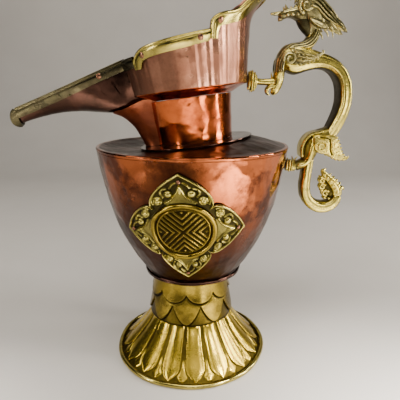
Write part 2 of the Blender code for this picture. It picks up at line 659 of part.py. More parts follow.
def build_throat(seat, copper):
    """Builds the beak-like sheet from the neck's base up to the gutter's underside."""
    base = NECK_BASE

    def throat_point(angle, height, inset):
        share = (height - base) / NECK_HEIGHT
        flare = (THROAT_TOP_HALF - THROAT_BASE_HALF) * max(0.0, share) ** THROAT_FLARE
        half = THROAT_BASE_HALF + flare - inset
        neck = NECK_BASE_RADIUS + (NECK_TOP_RADIUS - NECK_BASE_RADIUS) * share
        rear = math.sqrt(neck**2 - half**2) + CLEARANCE * 3
        front = NECK_BASE_RADIUS + between(THROAT_FRONT, share) - inset
        return Vector((-rear - (front - rear) * math.cos(angle), half * math.sin(angle), height))

    def top_height(angle):
        height = base + NECK_HEIGHT * 0.6
        for _ in range(12):
            place = throat_point(angle, height, 0.0)
            forward = max(SPOUT_ROOT, -place.x)
            side = max(-1.0, min(1.0, place.y / spout_half(forward)))
            limit = spout_point(forward, side, COPPER_SHEET / 2 + CLEARANCE * 3).z
            height += (min(limit, NECK_TOP - CLEARANCE) - height) * 0.6
        return height

    loops = []
    for step in range(13):
        angle = math.radians(-88 + 176 * step / 12)
        top = top_height(angle)
        outside, inside = [], []
        for share in (0.0, 0.25, 0.5, 0.75, 1.0):
            height = base + (top - base) * share
            outside.append(throat_point(angle, height, 0.0))
            inside.append(throat_point(angle, height, COPPER_SHEET))
        loops.append(outside + inside[::-1])
    swept("spout_throat", loops, seat, copper)


def wall_place(across, up, offset, face):
    """Lays a flat ornament point on the wall, face being -1 for the front and 1 for the back."""
    turned_across = across * math.cos(PLAQUE_LEAN) - up * math.sin(PLAQUE_LEAN) - PLAQUE_SHIFT
    turned_up = across * math.sin(PLAQUE_LEAN) + up * math.cos(PLAQUE_LEAN)
    tangent = (wall_radius(PLAQUE_HEIGHT + 0.001) - wall_radius(PLAQUE_HEIGHT - 0.001)) / 0.002
    height = PLAQUE_HEIGHT + turned_up / math.hypot(1, tangent)
    slope = (wall_radius(height + 0.001) - wall_radius(height - 0.001)) / 0.002
    length = math.hypot(1, slope)
    radius = wall_radius(height) + offset / length
    angle = turned_across / wall_radius(PLAQUE_HEIGHT)
    height -= offset * slope / length
    return Vector((radius * math.sin(angle), face * radius * math.cos(angle), height))


def build_plaques(root, brass, copper):
    """Builds a four-lobed plaque, its roundel and its rivets on the front and on the back of the wall."""
    outline = []
    for quarter in range(4):
        turn = math.radians(90 * quarter)
        lobe = PLAQUE_LOBE + [(along, -half) for along, half in PLAQUE_LOBE[-2:0:-1]]
        for along, half in lobe:
            across = along * math.cos(turn) + half * math.sin(turn)
            outline.append((across, along * math.sin(turn) - half * math.cos(turn)))
    hole = ROUNDEL_RADIUS + CLEARANCE
    near = CLEARANCE * 1.5
    far = near + PLAQUE_SHEET
    for label, face in (("front", -1), ("back", 1)):
        loops = []
        for across, up in outline + outline[:1]:
            reach = math.hypot(across, up)
            inner = (across * hole / reach, up * hole / reach)
            middle = ((across + inner[0]) / 2, (up + inner[1]) / 2)
            outer = (across, up)
            rows = [(inner, near), (middle, near), (outer, near), (outer, far), (middle, far), (inner, far)]
            loops.append([wall_place(*place, offset, face) for place, offset in rows])
        ring = bmesh.new()
        rings = [[ring.verts.new(point) for point in loop] for loop in loops[:-1]]
        for first, second in zip(rings, rings[1:] + rings[:1]):
            for index in range(6):
                after = (index + 1) % 6
                ring.faces.new((first[index], first[after], second[after], second[index]))
        solid("plaque_" + label, ring, root, brass)
        build_roundel("roundel_" + label, face, near, root, brass)
        for corner in range(4):
            turn = math.radians(90 * corner)
            across = PLAQUE_RIVET_REACH * math.cos(turn)
            up = PLAQUE_RIVET_REACH * math.sin(turn)
            place = wall_place(across, up, far + CLEARANCE, face)
            outward = (wall_place(across, up, far + 2 * CLEARANCE, face) - place).normalized()
            name = "rivet_plaque_%s_%d" % (label, corner + 1)
            rivet(name, place, outward, PLAQUE_RIVET_RADIUS, root, copper)


def build_roundel(name, face, near, root, brass):
    """Builds the round disc in a plaque's middle, with a raised rim."""
    level = near + PLAQUE_SHEET
    edge = ROUNDEL_RADIUS
    rows = [
        (edge * 0.5, near), (edge, near), (edge, level),
        (edge - ROUNDEL_RIM * 0.3, level + ROUNDEL_RIM_RISE),
        (edge - ROUNDEL_RIM * 0.8, level + ROUNDEL_RIM_RISE),
        (edge - ROUNDEL_RIM, level), (edge * 0.5, level),
    ]
    shape = bmesh.new()
    rings = []
    for radius, offset in rows:
        ring = []
        for step in range(28):
            angle = math.tau * step / 28
            place = wall_place(radius * math.cos(angle), radius * math.sin(angle), offset, face)
            ring.append(shape.verts.new(place))
        rings.append(ring)
    for first, second in zip(rings, rings[1:]):
        for step in range(28):
            after = (step + 1) % 28
            shape.faces.new((first[step], first[after], second[after], second[step]))
    for ring, offset in ((rings[0], near), (rings[-1], level)):
        centre = shape.verts.new(wall_place(0.0, 0.0, offset, face))
        for step in range(28):
            shape.faces.new((centre, ring[step], ring[(step + 1) % 28]))
    solid(name, shape, root, brass)


def cap_back(height):
    """Gives how far out the cap's rear outer face lies at a height, in the vessel's own frame."""
    low, high = 0.0, FLARE_HEIGHT
    for _ in range(40):
        rise = (low + high) / 2
        place = cap_point(0.0, rise, COPPER_SHEET / 2)
        level = SEAT_HEIGHT + place.x * math.sin(CAP_TILT) + place.z * math.cos(CAP_TILT)
        low, high = (rise, high) if level < height else (low, rise)
    return SEAT_OFFSET + place.x * math.cos(CAP_TILT) - place.z * math.sin(CAP_TILT)


def build_dragon(handle, brass):
    """Builds the dragon's castings, from the claw on the cap to the tail's tuft."""
    limb("dragon_body", ARCH_PATH, handle, brass, sides=12)
    neck = limb("dragon_neck", NECK_PATH, handle, brass)
    seat_on(neck, ARCH_PATH, handle, brass, sides=12)
    head = limb("dragon_head", HEAD_PATH, handle, brass, sides=12)
    seat_on(head, NECK_PATH, handle, brass)
    jaw = limb("dragon_jaw", JAW_PATH, handle, brass, sides=8)
    seat_on(jaw, HEAD_PATH, handle, brass, sides=12)
    foreleg = limb("foreleg", FORELEG_PATH, handle, brass)
    seat_on(foreleg, ARCH_PATH, handle, brass, sides=12)
    hind_leg = limb("hind_leg", HIND_LEG_PATH, handle, brass)
    seat_on(hind_leg, ARCH_PATH, handle, brass, sides=12)
    tail = limb("tail", TAIL_PATH, handle, brass)
    seat_on(tail, HIND_LEG_PATH, handle, brass)
    tuft = plate("tail_tuft", TUFT_OUTLINE, -TUFT_HALF, TUFT_HALF, handle, brass)
    seat_on(tuft, TAIL_PATH, handle, brass)
    for label, side in (("left", -1), ("right", 1)):
        for title, outline, depth in (
            ("wing", WING_OUTLINE, BODY_DEPTH), ("haunch_flame", HAUNCH_OUTLINE, HAUNCH_DEPTH),
            ("mane", MANE_OUTLINE, HAUNCH_DEPTH)):
            near = depth + CLEARANCE
            plate(title + "_" + label, outline, side * near, side * (near + FLAME_SHEET), handle, brass)
        horn = limb("horn_" + label, HORN_PATH, handle, brass, sides=6, spread=side * HORN_SPREAD)
        seat_on(horn, HEAD_PATH, handle, brass, sides=12)

    hind_gap = CLEARANCE * 1.5 - HANDLE_STANDOFF
    slope = (wall_radius(HIND_HEIGHT + 0.006) - wall_radius(HIND_HEIGHT - 0.006)) / 0.012
    reach = HIND_LEG_PATH[-1][0] - CLEARANCE
    claw = []
    for x, low, high, depth in (
        (hind_gap, -HIND_CLAW_HALF, HIND_CLAW_HALF, HIND_CLAW_HALF),
        (reach * 0.4, -HIND_CLAW_HALF, HIND_CLAW_HALF * 0.8, HIND_CLAW_HALF),
        (reach, -HIND_CLAW_HALF * 0.8, HIND_CLAW_HALF * 0.5, HIND_CLAW_HALF * 0.8),
    ):
        lean = 1.0 if x == hind_gap else 0.0
        claw.append([
            (x + lean * slope * low, -depth, low), (x + lean * slope * low, depth, low),
            (x + lean * slope * high, depth, high), (x + lean * slope * high, -depth, high)])
    swept("hind_claw", claw, handle, brass)


def build_forearm(root, handle_x, brass):
    """Builds the forearm between the cap's rear face and the foreleg, with its upright claw foot."""
    level = HIND_HEIGHT + FOREARM_HEIGHT
    top = level + CLAW_HEIGHT * 0.6
    low = level - CLAW_HEIGHT * 0.4
    gap = CLEARANCE * 1.5
    front = [(row[1], row[0] - row[2]) for row in reversed(FORELEG_PATH)]
    leg = handle_x + between(front, FOREARM_HEIGHT) - gap
    pad = cap_back(level) + CLAW_LENGTH
    loops = []
    for x_low, x_high, bottom, roof, depth in (
        (cap_back(low) + gap, cap_back(top) + gap, low, top, CLAW_HALF),
        (pad, pad, low, top - CLAW_HEIGHT * 0.1, CLAW_HALF),
        (pad + 0.0015, pad + 0.0015, level - FOREARM_HALF, level + FOREARM_HALF, FOREARM_HALF),
        (leg, leg, level - FOREARM_HALF, level + FOREARM_HALF, FOREARM_HALF),
    ):
        loops.append([
            (x_low, -depth, bottom), (x_low, depth, bottom), (x_high, depth, roof), (x_high, -depth, roof)])
    swept("forearm", loops, root, brass)


def main():
    """Builds the ewer, with its box centred on the origin."""
    clear_scene()
    copper = make_finish("hammered_copper", (0.42, 0.13, 0.07), 0.28)
    brass = make_finish("chased_brass", (0.55, 0.40, 0.12), 0.30)
    cast = make_finish("cast_brass", (0.58, 0.46, 0.18), 0.34)

    handle_x = wall_radius(HIND_HEIGHT) + HANDLE_STANDOFF
    tail_end = max(x for x, z in TUFT_OUTLINE + HAUNCH_OUTLINE)
    tip = spout_point(SPOUT_REACH, 0.0, BAND_OFFSET + BRASS_SHEET + TIP_FLARE)
    spout_end = SEAT_OFFSET + tip.x * math.cos(CAP_TILT) - spout_rim(SPOUT_REACH) * math.sin(CAP_TILT)
    root = bpy.data.objects.new("ewer", None)
    root.location.x = -(spout_end + handle_x + tail_end) / 2
    bpy.context.collection.objects.link(root)
    foot = bpy.data.objects.new("foot_seat", None)
    foot.location.x = -FOOT_SHIFT
    foot.parent = root
    bpy.context.collection.objects.link(foot)
    seat = bpy.data.objects.new("cap_seat", None)
    seat.location = (SEAT_OFFSET, 0, SEAT_HEIGHT)
    seat.rotation_euler = (0, -CAP_TILT, 0)
    seat.parent = root
    bpy.context.collection.objects.link(seat)
    handle = bpy.data.objects.new("handle_seat", None)
    handle.location = (handle_x, 0, HIND_HEIGHT)
    handle.parent = root
    bpy.context.collection.objects.link(handle)

    build_foot(foot, brass)
    build_body(root, copper)
    build_neck(seat, copper)
    build_cap(seat, copper)
    build_bands(seat, brass, copper)
    build_spout(seat, copper, brass)
    build_plaques(root, brass, copper)
    build_dragon(handle, cast)
    build_forearm(root, handle_x, cast)


main()
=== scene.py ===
"""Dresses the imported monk's cap ewer: hammered copper, chased brass and a cast brass dragon handle.

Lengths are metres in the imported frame: +Z up, the spout towards -X, the handle towards +X.
"""

import logging
import math
from dataclasses import dataclass, replace
from enum import Enum
from typing import Any

import bpy
import numpy as np
import numpy.typing as npt
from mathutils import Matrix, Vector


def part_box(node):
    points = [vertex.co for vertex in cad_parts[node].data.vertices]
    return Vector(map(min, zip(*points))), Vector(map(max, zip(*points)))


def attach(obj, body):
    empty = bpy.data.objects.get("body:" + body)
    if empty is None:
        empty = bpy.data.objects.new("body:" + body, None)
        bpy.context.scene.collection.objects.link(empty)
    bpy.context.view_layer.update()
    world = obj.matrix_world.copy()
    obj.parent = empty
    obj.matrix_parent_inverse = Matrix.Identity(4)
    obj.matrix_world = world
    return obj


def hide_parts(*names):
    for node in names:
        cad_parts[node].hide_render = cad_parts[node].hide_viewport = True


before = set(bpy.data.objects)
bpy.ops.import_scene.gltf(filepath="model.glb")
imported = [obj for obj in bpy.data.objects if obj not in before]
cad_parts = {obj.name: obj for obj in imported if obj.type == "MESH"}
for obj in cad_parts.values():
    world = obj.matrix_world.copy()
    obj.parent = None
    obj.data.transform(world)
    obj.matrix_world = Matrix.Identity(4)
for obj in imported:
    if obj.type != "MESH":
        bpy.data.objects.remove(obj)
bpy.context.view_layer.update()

Array = npt.NDArray[np.float64]
Faces = npt.NDArray[np.int64]
Row = tuple[float, ...]
Rows = tuple[Row, ...]
LOG = logging.getLogger("ewer")

MM = 0.001
MM_PER_METRE = 1000
# Edges sharper than this stay crisp under smooth shading
CRISP_ANGLE = math.radians(42)
# Relief share of a plate's back
BACK_RELIEF = 0.5
# Factors that scatter hammer marks evenly, and the share of their spacing by which they stray
SCATTER_STEPS = (12.9898, 78.233)
SCATTER_SCALES = (43758.5453, 24634.6345)
STRAY = 0.8


class Slot(Enum):
    """Material slots of the record."""

    COPPER = "copper"
    SHEET_BRASS = "sheet_brass"
    CAST_BRASS = "cast_brass"


class Side(Enum):
    """The two mirrored sides of the ewer: left is nearest to the viewer."""

    LEFT = -1.0
    RIGHT = 1.0


def linear(code: str) -> tuple[float, float, float, float]:
    """Turns an sRGB hex colour into linear light.

    Args:
        code: Colour such as "#C88F72".

    Returns:
        Red, green, blue and an alpha of one.
    """
    shares = [int(code[start:start + 2], 16) / 255 for start in (1, 3, 5)]
    red, green, blue = (s / 12.92 if s <= 0.04045 else ((s + 0.055) / 1.055) ** 2.4 for s in shares)
    return red, green, blue, 1.0


def spline(rows: npt.ArrayLike, count: int) -> Array:
    """Samples a smooth curve through rows of numbers.

    Formula: on each span the cubic through its two rows whose slopes are half the step between the rows
    around it.

    Args:
        rows: Numbers to pass through, one row per knot.
        count: Number of samples, even in knot number.

    Returns:
        The samples, one row each.
    """
    table = np.asarray(rows, dtype=float)
    table = np.vstack([2 * table[0] - table[1], table, 2 * table[-1] - table[-2]])
    place = np.linspace(0, len(table) - 3, count)
    index = np.minimum(place.astype(int), len(table) - 4)
    t = (place - index)[:, None]
    a, b, c, d = (table[index + step] for step in range(4))
    return 0.5 * (2 * b + (c - a) * t + (2 * a - 5 * b + 4 * c - d) * t**2 + (3 * b - a - 3 * c + d) * t**3)


def lookup(table: npt.ArrayLike, keys: Array | float) -> Array:
    """Reads values at keys along a smooth curve through (key, value) rows in rising key order."""
    dense = spline(table, 400)
    return np.interp(keys, dense[:, 0], dense[:, 1])


def unit(vectors: Array) -> Array:
    """Scales vectors to length one."""
    return vectors / np.maximum(np.linalg.norm(vectors, axis=-1, keepdims=True), 1e-12)


def bump(distance: Array, width: float) -> Array:
    """Gives a smooth round ridge over a distance: one in its middle, falling as a bell."""
    return np.exp(-((distance / width) ** 2))


def reach(points: Array, line: npt.ArrayLike) -> Array:
    """Measures flat points' distance to a polyline.

    Formula: for each span, the foot of the perpendicular clamped to the span; the least distance is kept.

    Args:
        points: Flat points, two numbers each.
        line: The polyline's corners.

    Returns:
        Distances, in the shape of the points.
    """
    corners = np.asarray(line, dtype=float)
    best = np.full(points.shape[:-1], np.inf)
    for start, end in zip(corners[:-1], corners[1:]):
        step = end - start
        share = np.clip(((points - start) @ step) / max(float(step @ step), 1e-18), 0, 1)
        best = np.minimum(best, np.linalg.norm(points - start - share[..., None] * step, axis=-1))
    return best


def planished(x: Array, y: Array, lap: int, seed: float) -> Array:
    """Gives the depth share of hammer marks over a sheet.

    Formula: squared distance to the nearest mark's middle; middles stray from the middles of a square grid.

    Args:
        x: Place along the sheet, in mark spacings.
        y: Place across the sheet, in mark spacings.
        lap: Marks in one full turn, after which the pattern repeats.
        seed: Number that sets where the marks stray.

    Returns:
        Zero in the middle of a mark, rising to its edge.
    """
    column, row = np.floor(x), np.floor(y)
    best = np.full(np.broadcast(x, y).shape, np.inf)
    for right in (-1, 0, 1):
        for above in (-1, 0, 1):
            key = ((column + right) % lap) * SCATTER_STEPS[0] + (row + above) * SCATTER_STEPS[1] + seed
            first = (np.sin(key) * SCATTER_SCALES[0]) % 1.0
            second = (np.sin(key + 3.7) * SCATTER_SCALES[1]) % 1.0
            across = x - (column + right + 0.5 + STRAY * (first - 0.5))
            rise = y - (row + above + 0.5 + STRAY * (second - 0.5))
            best = np.minimum(best, across**2 + rise**2)
    return best


def full_turn(columns: int) -> Array:
    """Gives one row of angles round a full turn."""
    return np.arange(columns)[None, :] * math.tau / columns


def around(sides: int) -> Array:
    """Gives the angles of an oval's points, half a step off its axes."""
    return (np.arange(sides) + 0.5) * math.tau / sides


def squared(angle: Array, power: Array | float) -> tuple[Array, Array]:
    """Gives the cosine and the sine of angles, each raised to a power with its sign kept."""
    cosine, sine = np.cos(angle), np.sin(angle)
    return np.sign(cosine) * np.abs(cosine) ** power, np.sign(sine) * np.abs(sine) ** power


def turned(radius: Array, height: Array, turn: Array, centre_x: float = 0.0) -> Array:
    """Spins radii and heights about an upright axis at centre_x, by angles from +X."""
    radius, height, turn = np.broadcast_arrays(radius, height, turn)
    return np.stack([centre_x + radius * np.cos(turn), radius * np.sin(turn), height], -1)


def tube(path: Array, out: Array, half_out: Array | float, half_side: Array | float, sides: int = 16,
         power: float = 1.0) -> Array:
    """Carries an oval along a path.

    Formula: path + out * half_out * c + (tangent x out) * half_side * s, where c and s are the cosine and the
    sine of the angle round the oval, raised to a power that squares it off.

    Args:
        path: Middle line.
        out: Direction of the oval's first half axis at each point.
        half_out: First half axis.
        half_side: Second half axis.
        sides: Points round the oval.
        power: One for an ellipse, less for flatter sides.

    Returns:
        Rings of points, one per path point.
    """
    tangent = unit(np.gradient(path, axis=0))
    out = unit(out - tangent * np.sum(out * tangent, axis=-1, keepdims=True))
    side = np.cross(tangent, out)
    cosine, sine = squared(around(sides), power)
    first = np.broadcast_to(half_out, len(path))[:, None] * cosine
    second = np.broadcast_to(half_side, len(path))[:, None] * sine
    return path[:, None] + out[:, None] * first[..., None] + side[:, None] * second[..., None]


def drawn_in(rings: Array, share: Array) -> Array:
    """Draws ring points in towards their ring's middle by a share of their distance to it."""
    middle = rings.mean(axis=1, keepdims=True)
    return middle + (rings - middle) * (1 - share[..., None])


def round_ends(count: int, first: float, last: float) -> Array:
    """Gives a thickness share along a path that closes in quarter circles at its ends.

    Args:
        count: Samples along the path.
        first: Share of the path that the first end takes, or zero for a flat end.
        last: The same for the last end.

    Returns:
        Shares from near zero to one.
    """
    place = np.linspace(0, 1, count)
    near = np.clip(place / first, 0, 1) if first else np.ones(count)
    far = np.clip((1 - place) / last, 0, 1) if last else np.ones(count)
    return np.sqrt(np.clip(1 - (1 - np.minimum(near, far)) ** 2, 0.004, 1))


def grid_faces(rows: int, columns: int, rows_join: bool, columns_join: bool) -> Faces:
    """Numbers the corners of the faces of a grid of points.

    Formula: point (i, j) is joined to (i, j + 1), (i + 1, j + 1) and (i + 1, j).

    Args:
        rows: Number of rows.
        columns: Points in a row.
        rows_join: Whether the last row meets the first.
        columns_join: Whether the last column meets the first.

    Returns:
        Four corners per face.
    """
    i, j = np.meshgrid(np.arange(rows - 1 + rows_join), np.arange(columns - 1 + columns_join), indexing="ij")
    down, right = (i + 1) % rows * columns, (j + 1) % columns
    return np.stack([i * columns + j, i * columns + right, down + right, down + j], -1).reshape(-1, 4)


class Shape:
    """A mesh in the making, gathered from closed grid surfaces."""

    def __init__(self) -> None:
        """Starts with no surface."""
        self._points: list[Array] = []
        self._relief_and_shade: list[Array] = []
        self._quads: list[Faces] = []
        self._fans: list[Faces] = []
        self._count = 0

    def _store(self, points: Array, relief_and_shade: Array, quads: Faces, fans: Faces) -> None:
        """Adds one closed shell with its faces outward, by the sign of the volume that they hold.

        Args:
            points: The shell's points.
            relief_and_shade: Height share of each point, zero in a recess, and lowered where shade is
                painted.
            quads: Faces of four.
            fans: Faces of three.
        """
        corners = np.vstack([quads[:, [0, 1, 2]], quads[:, [0, 2, 3]], fans])
        a, b, c = (points[corners[:, place]] - points.mean(axis=0) for place in range(3))
        if np.einsum("ij,ij->", a, np.cross(b, c)) < 0:
            quads, fans = quads[:, ::-1], fans[:, ::-1]
        self._points.append(points)
        self._relief_and_shade.append(relief_and_shade)
        self._quads.append(quads + self._count)
        self._fans.append(fans + self._count)
        self._count += len(points)

    def loft(self, rings: Array, relief_and_shade: Array | float = 1.0, joined: bool = False) -> "Shape":
        """Adds the surface through closed rings of points.

        Args:
            rings: Points, ring by ring.
            relief_and_shade: Height share of each point, lowered where shade is painted.
            joined: Whether the last ring meets the first; otherwise fans of triangles close both ends.

        Returns:
            This shape.
        """
        rows, columns = rings.shape[:2]
        points = rings.reshape(-1, 3)
        level = np.broadcast_to(relief_and_shade, (rows, columns)).reshape(-1)
        fans = np.zeros((0, 3), dtype=np.int64)
        if not joined:
            ring = np.arange(columns)
            after = (ring + 1) % columns
            middle = rows * columns
            last = middle - columns
            low = np.stack([np.full(columns, middle), after, ring], -1)
            high = np.stack([np.full(columns, middle + 1), last + ring, last + after], -1)
            fans = np.vstack([low, high])
            points = np.vstack([points, rings[0].mean(axis=0), rings[-1].mean(axis=0)])
            level = np.append(level, [level[:columns].mean(), level[-columns:].mean()])
        self._store(points, level, grid_faces(rows, columns, joined, True), fans)
        return self

    def slab(self, front: Array, back: Array, relief_and_shade: Array | float = 1.0, joined: bool = False) -> "Shape":
        """Adds a plate between two grids of the same size.

        Formula: the front's rows run one way and the back's rows return, which makes closed rings across the
        plate; where the columns don't join, strips between front and back close the first and the last.

        Args:
            front: Outer face.
            back: Inner face.
            relief_and_shade: Height share of the front's points, lowered where shade is painted.
            joined: Whether the last column meets the first.

        Returns:
            This shape.
        """
        rows, columns = front.shape[:2]
        points = np.concatenate([front, back[::-1]]).reshape(-1, 3)
        total = 2 * rows
        level = np.full((total, columns), BACK_RELIEF)
        level[:rows] = relief_and_shade
        quads = grid_faces(total, columns, True, joined)
        if not joined:
            step = np.arange(rows - 1)
            loop = np.stack([step, step + 1, total - 2 - step, total - 1 - step], -1) * columns
            quads = np.vstack([quads, loop, loop[:, ::-1] + columns - 1])
        self._store(points, level.reshape(-1), quads, np.zeros((0, 3), dtype=np.int64))
        return self

    def sheet(self, face: Array, gauge: float, relief_and_shade: Array | float = 1.0, joined: bool = False) -> "Shape":
        """Adds a sheet of even gauge behind a face whose rows run up and whose columns run anticlockwise.

        Args:
            face: Outer face.
            gauge: Thickness.
            relief_and_shade: Height share of the face's points, lowered where shade is painted.
            joined: Whether the last column meets the first.

        Returns:
            This shape.
        """
        if joined:
            along = np.roll(face, -1, axis=1) - np.roll(face, 1, axis=1)
        else:
            along = np.gradient(face, axis=1)
        normal = unit(np.cross(along, np.gradient(face, axis=0)))
        return self.slab(face, face - normal * gauge, relief_and_shade, joined)

    def mirrored(self) -> "Shape":
        """Gives a copy on the ewer's other side.

        Returns:
            The new shape, with its faces turned to stay outward.
        """
        other = Shape()
        other._points = [points * (1, -1, 1) for points in self._points]
        other._relief_and_shade = list(self._relief_and_shade)
        other._quads = [quads[:, ::-1] for quads in self._quads]
        other._fans = [fans[:, ::-1] for fans in self._fans]
        other._count = self._count
        return other

    def doubled(self) -> "Shape":
        """Adds the mirror image, on the ewer's other side, of everything so far.

        Returns:
            This shape.
        """
        other = self.mirrored()
        self._points += other._points
        self._relief_and_shade += other._relief_and_shade
        self._quads += [quads + self._count for quads in other._quads]
        self._fans += [fans + self._count for fans in other._fans]
        self._count *= 2
        return self

    def piece(self, name: str, finish: bpy.types.Material, slot: Slot, *nodes: str) -> bpy.types.Object:
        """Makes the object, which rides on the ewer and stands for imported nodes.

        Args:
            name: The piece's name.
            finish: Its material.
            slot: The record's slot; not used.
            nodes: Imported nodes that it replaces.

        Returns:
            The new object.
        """
        points = np.concatenate(self._points)
        quads, fans = np.concatenate(self._quads), np.concatenate(self._fans)
        mesh = bpy.data.meshes.new(name)
        mesh.vertices.add(len(points))
        mesh.vertices.foreach_set("co", points.astype(np.float32).ravel())
        mesh.loops.add(quads.size + fans.size)
        mesh.loops.foreach_set("vertex_index", np.concatenate([quads.ravel(), fans.ravel()]).astype(np.int32))
        starts = np.append(np.arange(len(quads)) * 4, quads.size + np.arange(len(fans)) * 3)
        mesh.polygons.add(len(starts))
        mesh.polygons.foreach_set("loop_start", starts.astype(np.int32))
        mesh.update(calc_edges=True)
        mesh.validate()
        mesh.shade_smooth()
        mesh.set_sharp_from_angle(angle=CRISP_ANGLE)
        # The share also carries painted shade, which the finishes darken like patina.
        relief_and_shade = mesh.attributes.new("relief_and_shade", "FLOAT", "POINT")
        relief_and_shade.data.foreach_set("value", np.clip(np.concatenate(self._relief_and_shade), 0, 1).astype(np.float32))
        mesh.materials.append(finish)
        item = bpy.data.objects.new(name, mesh)
        bpy.context.scene.collection.objects.link(item)
        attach(item, "root")
        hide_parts(*nodes)
        LOG.info("%s: %d points, stands for %s", name, len(points), ", ".join(nodes))
        return item


def add_node(tree: bpy.types.NodeTree, kind: str, settings: dict[str, Any],
             links: dict[str, Any]) -> bpy.types.Node:
    """Adds a shader node with its settings, values and links.

    Args:
        tree: The material's node tree.
        kind: Node type.
        settings: Properties of the node.
        links: For each input, by name or number, a socket to link or a value to set.

    Returns:
        The node.
    """
    node = tree.nodes.new(kind)
    for key, value in settings.items():
        setattr(node, key, value)
    for key, value in links.items():
        socket = node.inputs[int(key)] if key.isdigit() else node.inputs[key]
        if isinstance(value, bpy.types.NodeSocket):
            tree.links.new(value, socket)
        else:
            socket.default_value = value
    return node


@dataclass(frozen=True)
class MetalFinish:
    """A worked metal surface: two tones in soft clouds, patina in recesses and in painted shade, grain and
    tool marks.

    Smooth and rough are the roughness of the two tones, patina_share is the patina's share where the relief
    share is zero, in a recess and where shade is painted, patina_end the relief share at which it ends, and
    passage half the width of the change of tone.
    """

    name: str
    bright: str
    dull: str
    patina: str
    smooth: float
    rough: float
    cloud_mm: float
    grain_mm: float
    grain_depth_mm: float
    mark_mm: float
    mark_depth_mm: float
    patina_share: float
    patina_end: float
    passage: float = 0.15
    cloud_middle: float = 0.51
    patina_shade_bottom: float = 0.12
    patina_shade_fade: float = 0.2
    patina_shade_break: float = 0.25
    patina_shade_roughness: float = 0.25

    def make(self) -> bpy.types.Material:
        """Makes the material.

        Returns:
            A metal with clouded colour, patina and painted shade by the relief share, and a bump of grain and
            tool marks.
        """
        material = bpy.data.materials.new(self.name)
        material.use_nodes = True
        tree = material.node_tree
        shader = tree.nodes["Principled BSDF"]
        place = add_node(tree, "ShaderNodeTexCoord", {}, {}).outputs["Object"]
        cloud = add_node(tree, "ShaderNodeTexNoise", {}, {
            "Vector": place, "Scale": MM_PER_METRE / self.cloud_mm, "Detail": 6.0,
            "Roughness": 0.64}).outputs["Fac"]
        cloud = add_node(tree, "ShaderNodeMapRange", {"interpolation_type": "SMOOTHSTEP"}, {
            "Value": cloud, "From Min": self.cloud_middle - self.passage,
            "From Max": self.cloud_middle + self.passage}).outputs["Result"]
        tone = add_node(tree, "ShaderNodeMix", {"data_type": "RGBA"}, {
            "0": cloud, "6": linear(self.bright), "7": linear(self.dull)}).outputs[2]
        grain = add_node(tree, "ShaderNodeTexNoise", {}, {
            "Vector": place, "Scale": MM_PER_METRE / self.grain_mm, "Detail": 3.0,
            "Roughness": 0.6}).outputs["Fac"]
        # The relief share darkens towards the patina colour in real recesses and where pieces paint shade.
        relief_and_shade = add_node(tree, "ShaderNodeAttribute", {"attribute_name": "relief_and_shade"}, {}).outputs["Fac"]
        uneven = add_node(tree, "ShaderNodeMath", {"operation": "MULTIPLY_ADD"}, {
            "0": grain, "1": self.patina_shade_break, "2": relief_and_shade}).outputs[0]
        patina_and_shade = add_node(tree, "ShaderNodeMapRange", {"interpolation_type": "SMOOTHSTEP"}, {
            "Value": uneven, "From Min": self.patina_shade_bottom, "From Max": self.patina_end + self.patina_shade_fade,
            "To Min": self.patina_share, "To Max": 0.0}).outputs["Result"]
        colour = add_node(tree, "ShaderNodeMix", {"data_type": "RGBA"}, {
            "0": patina_and_shade, "6": tone, "7": linear(self.patina)}).outputs[2]
        gloss = add_node(tree, "ShaderNodeMapRange", {}, {
            "Value": cloud, "To Min": self.smooth, "To Max": self.rough}).outputs["Result"]
        gloss = add_node(tree, "ShaderNodeMath", {"operation": "MULTIPLY_ADD"}, {
            "0": patina_and_shade, "1": self.patina_shade_roughness, "2": gloss}).outputs[0]
        marks = add_node(tree, "ShaderNodeTexVoronoi", {"feature": "SMOOTH_F1"}, {
            "Vector": place, "Scale": MM_PER_METRE / self.mark_mm, "Smoothness": 0.35}).outputs["Distance"]
        height = add_node(tree, "ShaderNodeMath", {"operation": "MULTIPLY"}, {
            "0": marks, "1": self.mark_depth_mm}).outputs[0]
        height = add_node(tree, "ShaderNodeMath", {"operation": "MULTIPLY_ADD"}, {
            "0": grain, "1": self.grain_depth_mm, "2": height}).outputs[0]
        normal = add_node(tree, "ShaderNodeBump", {}, {
            "Strength": 1.0, "Distance": MM, "Height": height}).outputs["Normal"]
        tree.links.new(colour, shader.inputs["Base Color"])
        tree.links.new(gloss, shader.inputs["Roughness"])
        tree.links.new(normal, shader.inputs["Normal"])
        shader.inputs["Metallic"].default_value = 1.0
        return material


# Raised copper, planished with a round hammer and darkened by handling: red-brown with broken orange lights.
HAMMERED_COPPER = MetalFinish(
    "hammered_copper", "#B46238", "#66341D", "#1E0F08", smooth=0.07, rough=0.17, cloud_mm=30, grain_mm=1.6,
    grain_depth_mm=0.012, mark_mm=6.5, mark_depth_mm=0.24, patina_share=0.92, patina_end=0.90, passage=0.07)
# The same sheet painted a paler pink for the cap, as a painted reflection of a bright room; dark brown where
# shade is painted on it.
PALE_REFLECTION_COPPER = replace(
    HAMMERED_COPPER, name="copper_painted_pale_reflection", bright="#BE876B", dull="#A06C55", patina="#241814",
    smooth=0.20, rough=0.30, cloud_mm=24, mark_depth_mm=0.16, patina_share=0.72, passage=0.12)
# The same sheet painted a dark mauve brown as painted shade and dark reflection, with little red left.
SHADED_COPPER = replace(
    PALE_REFLECTION_COPPER, name="copper_painted_shade", bright="#483129", dull="#36251E", patina="#1C0F09", smooth=0.12,
    rough=0.22, patina_share=0.35, patina_end=0.25, passage=0.10)
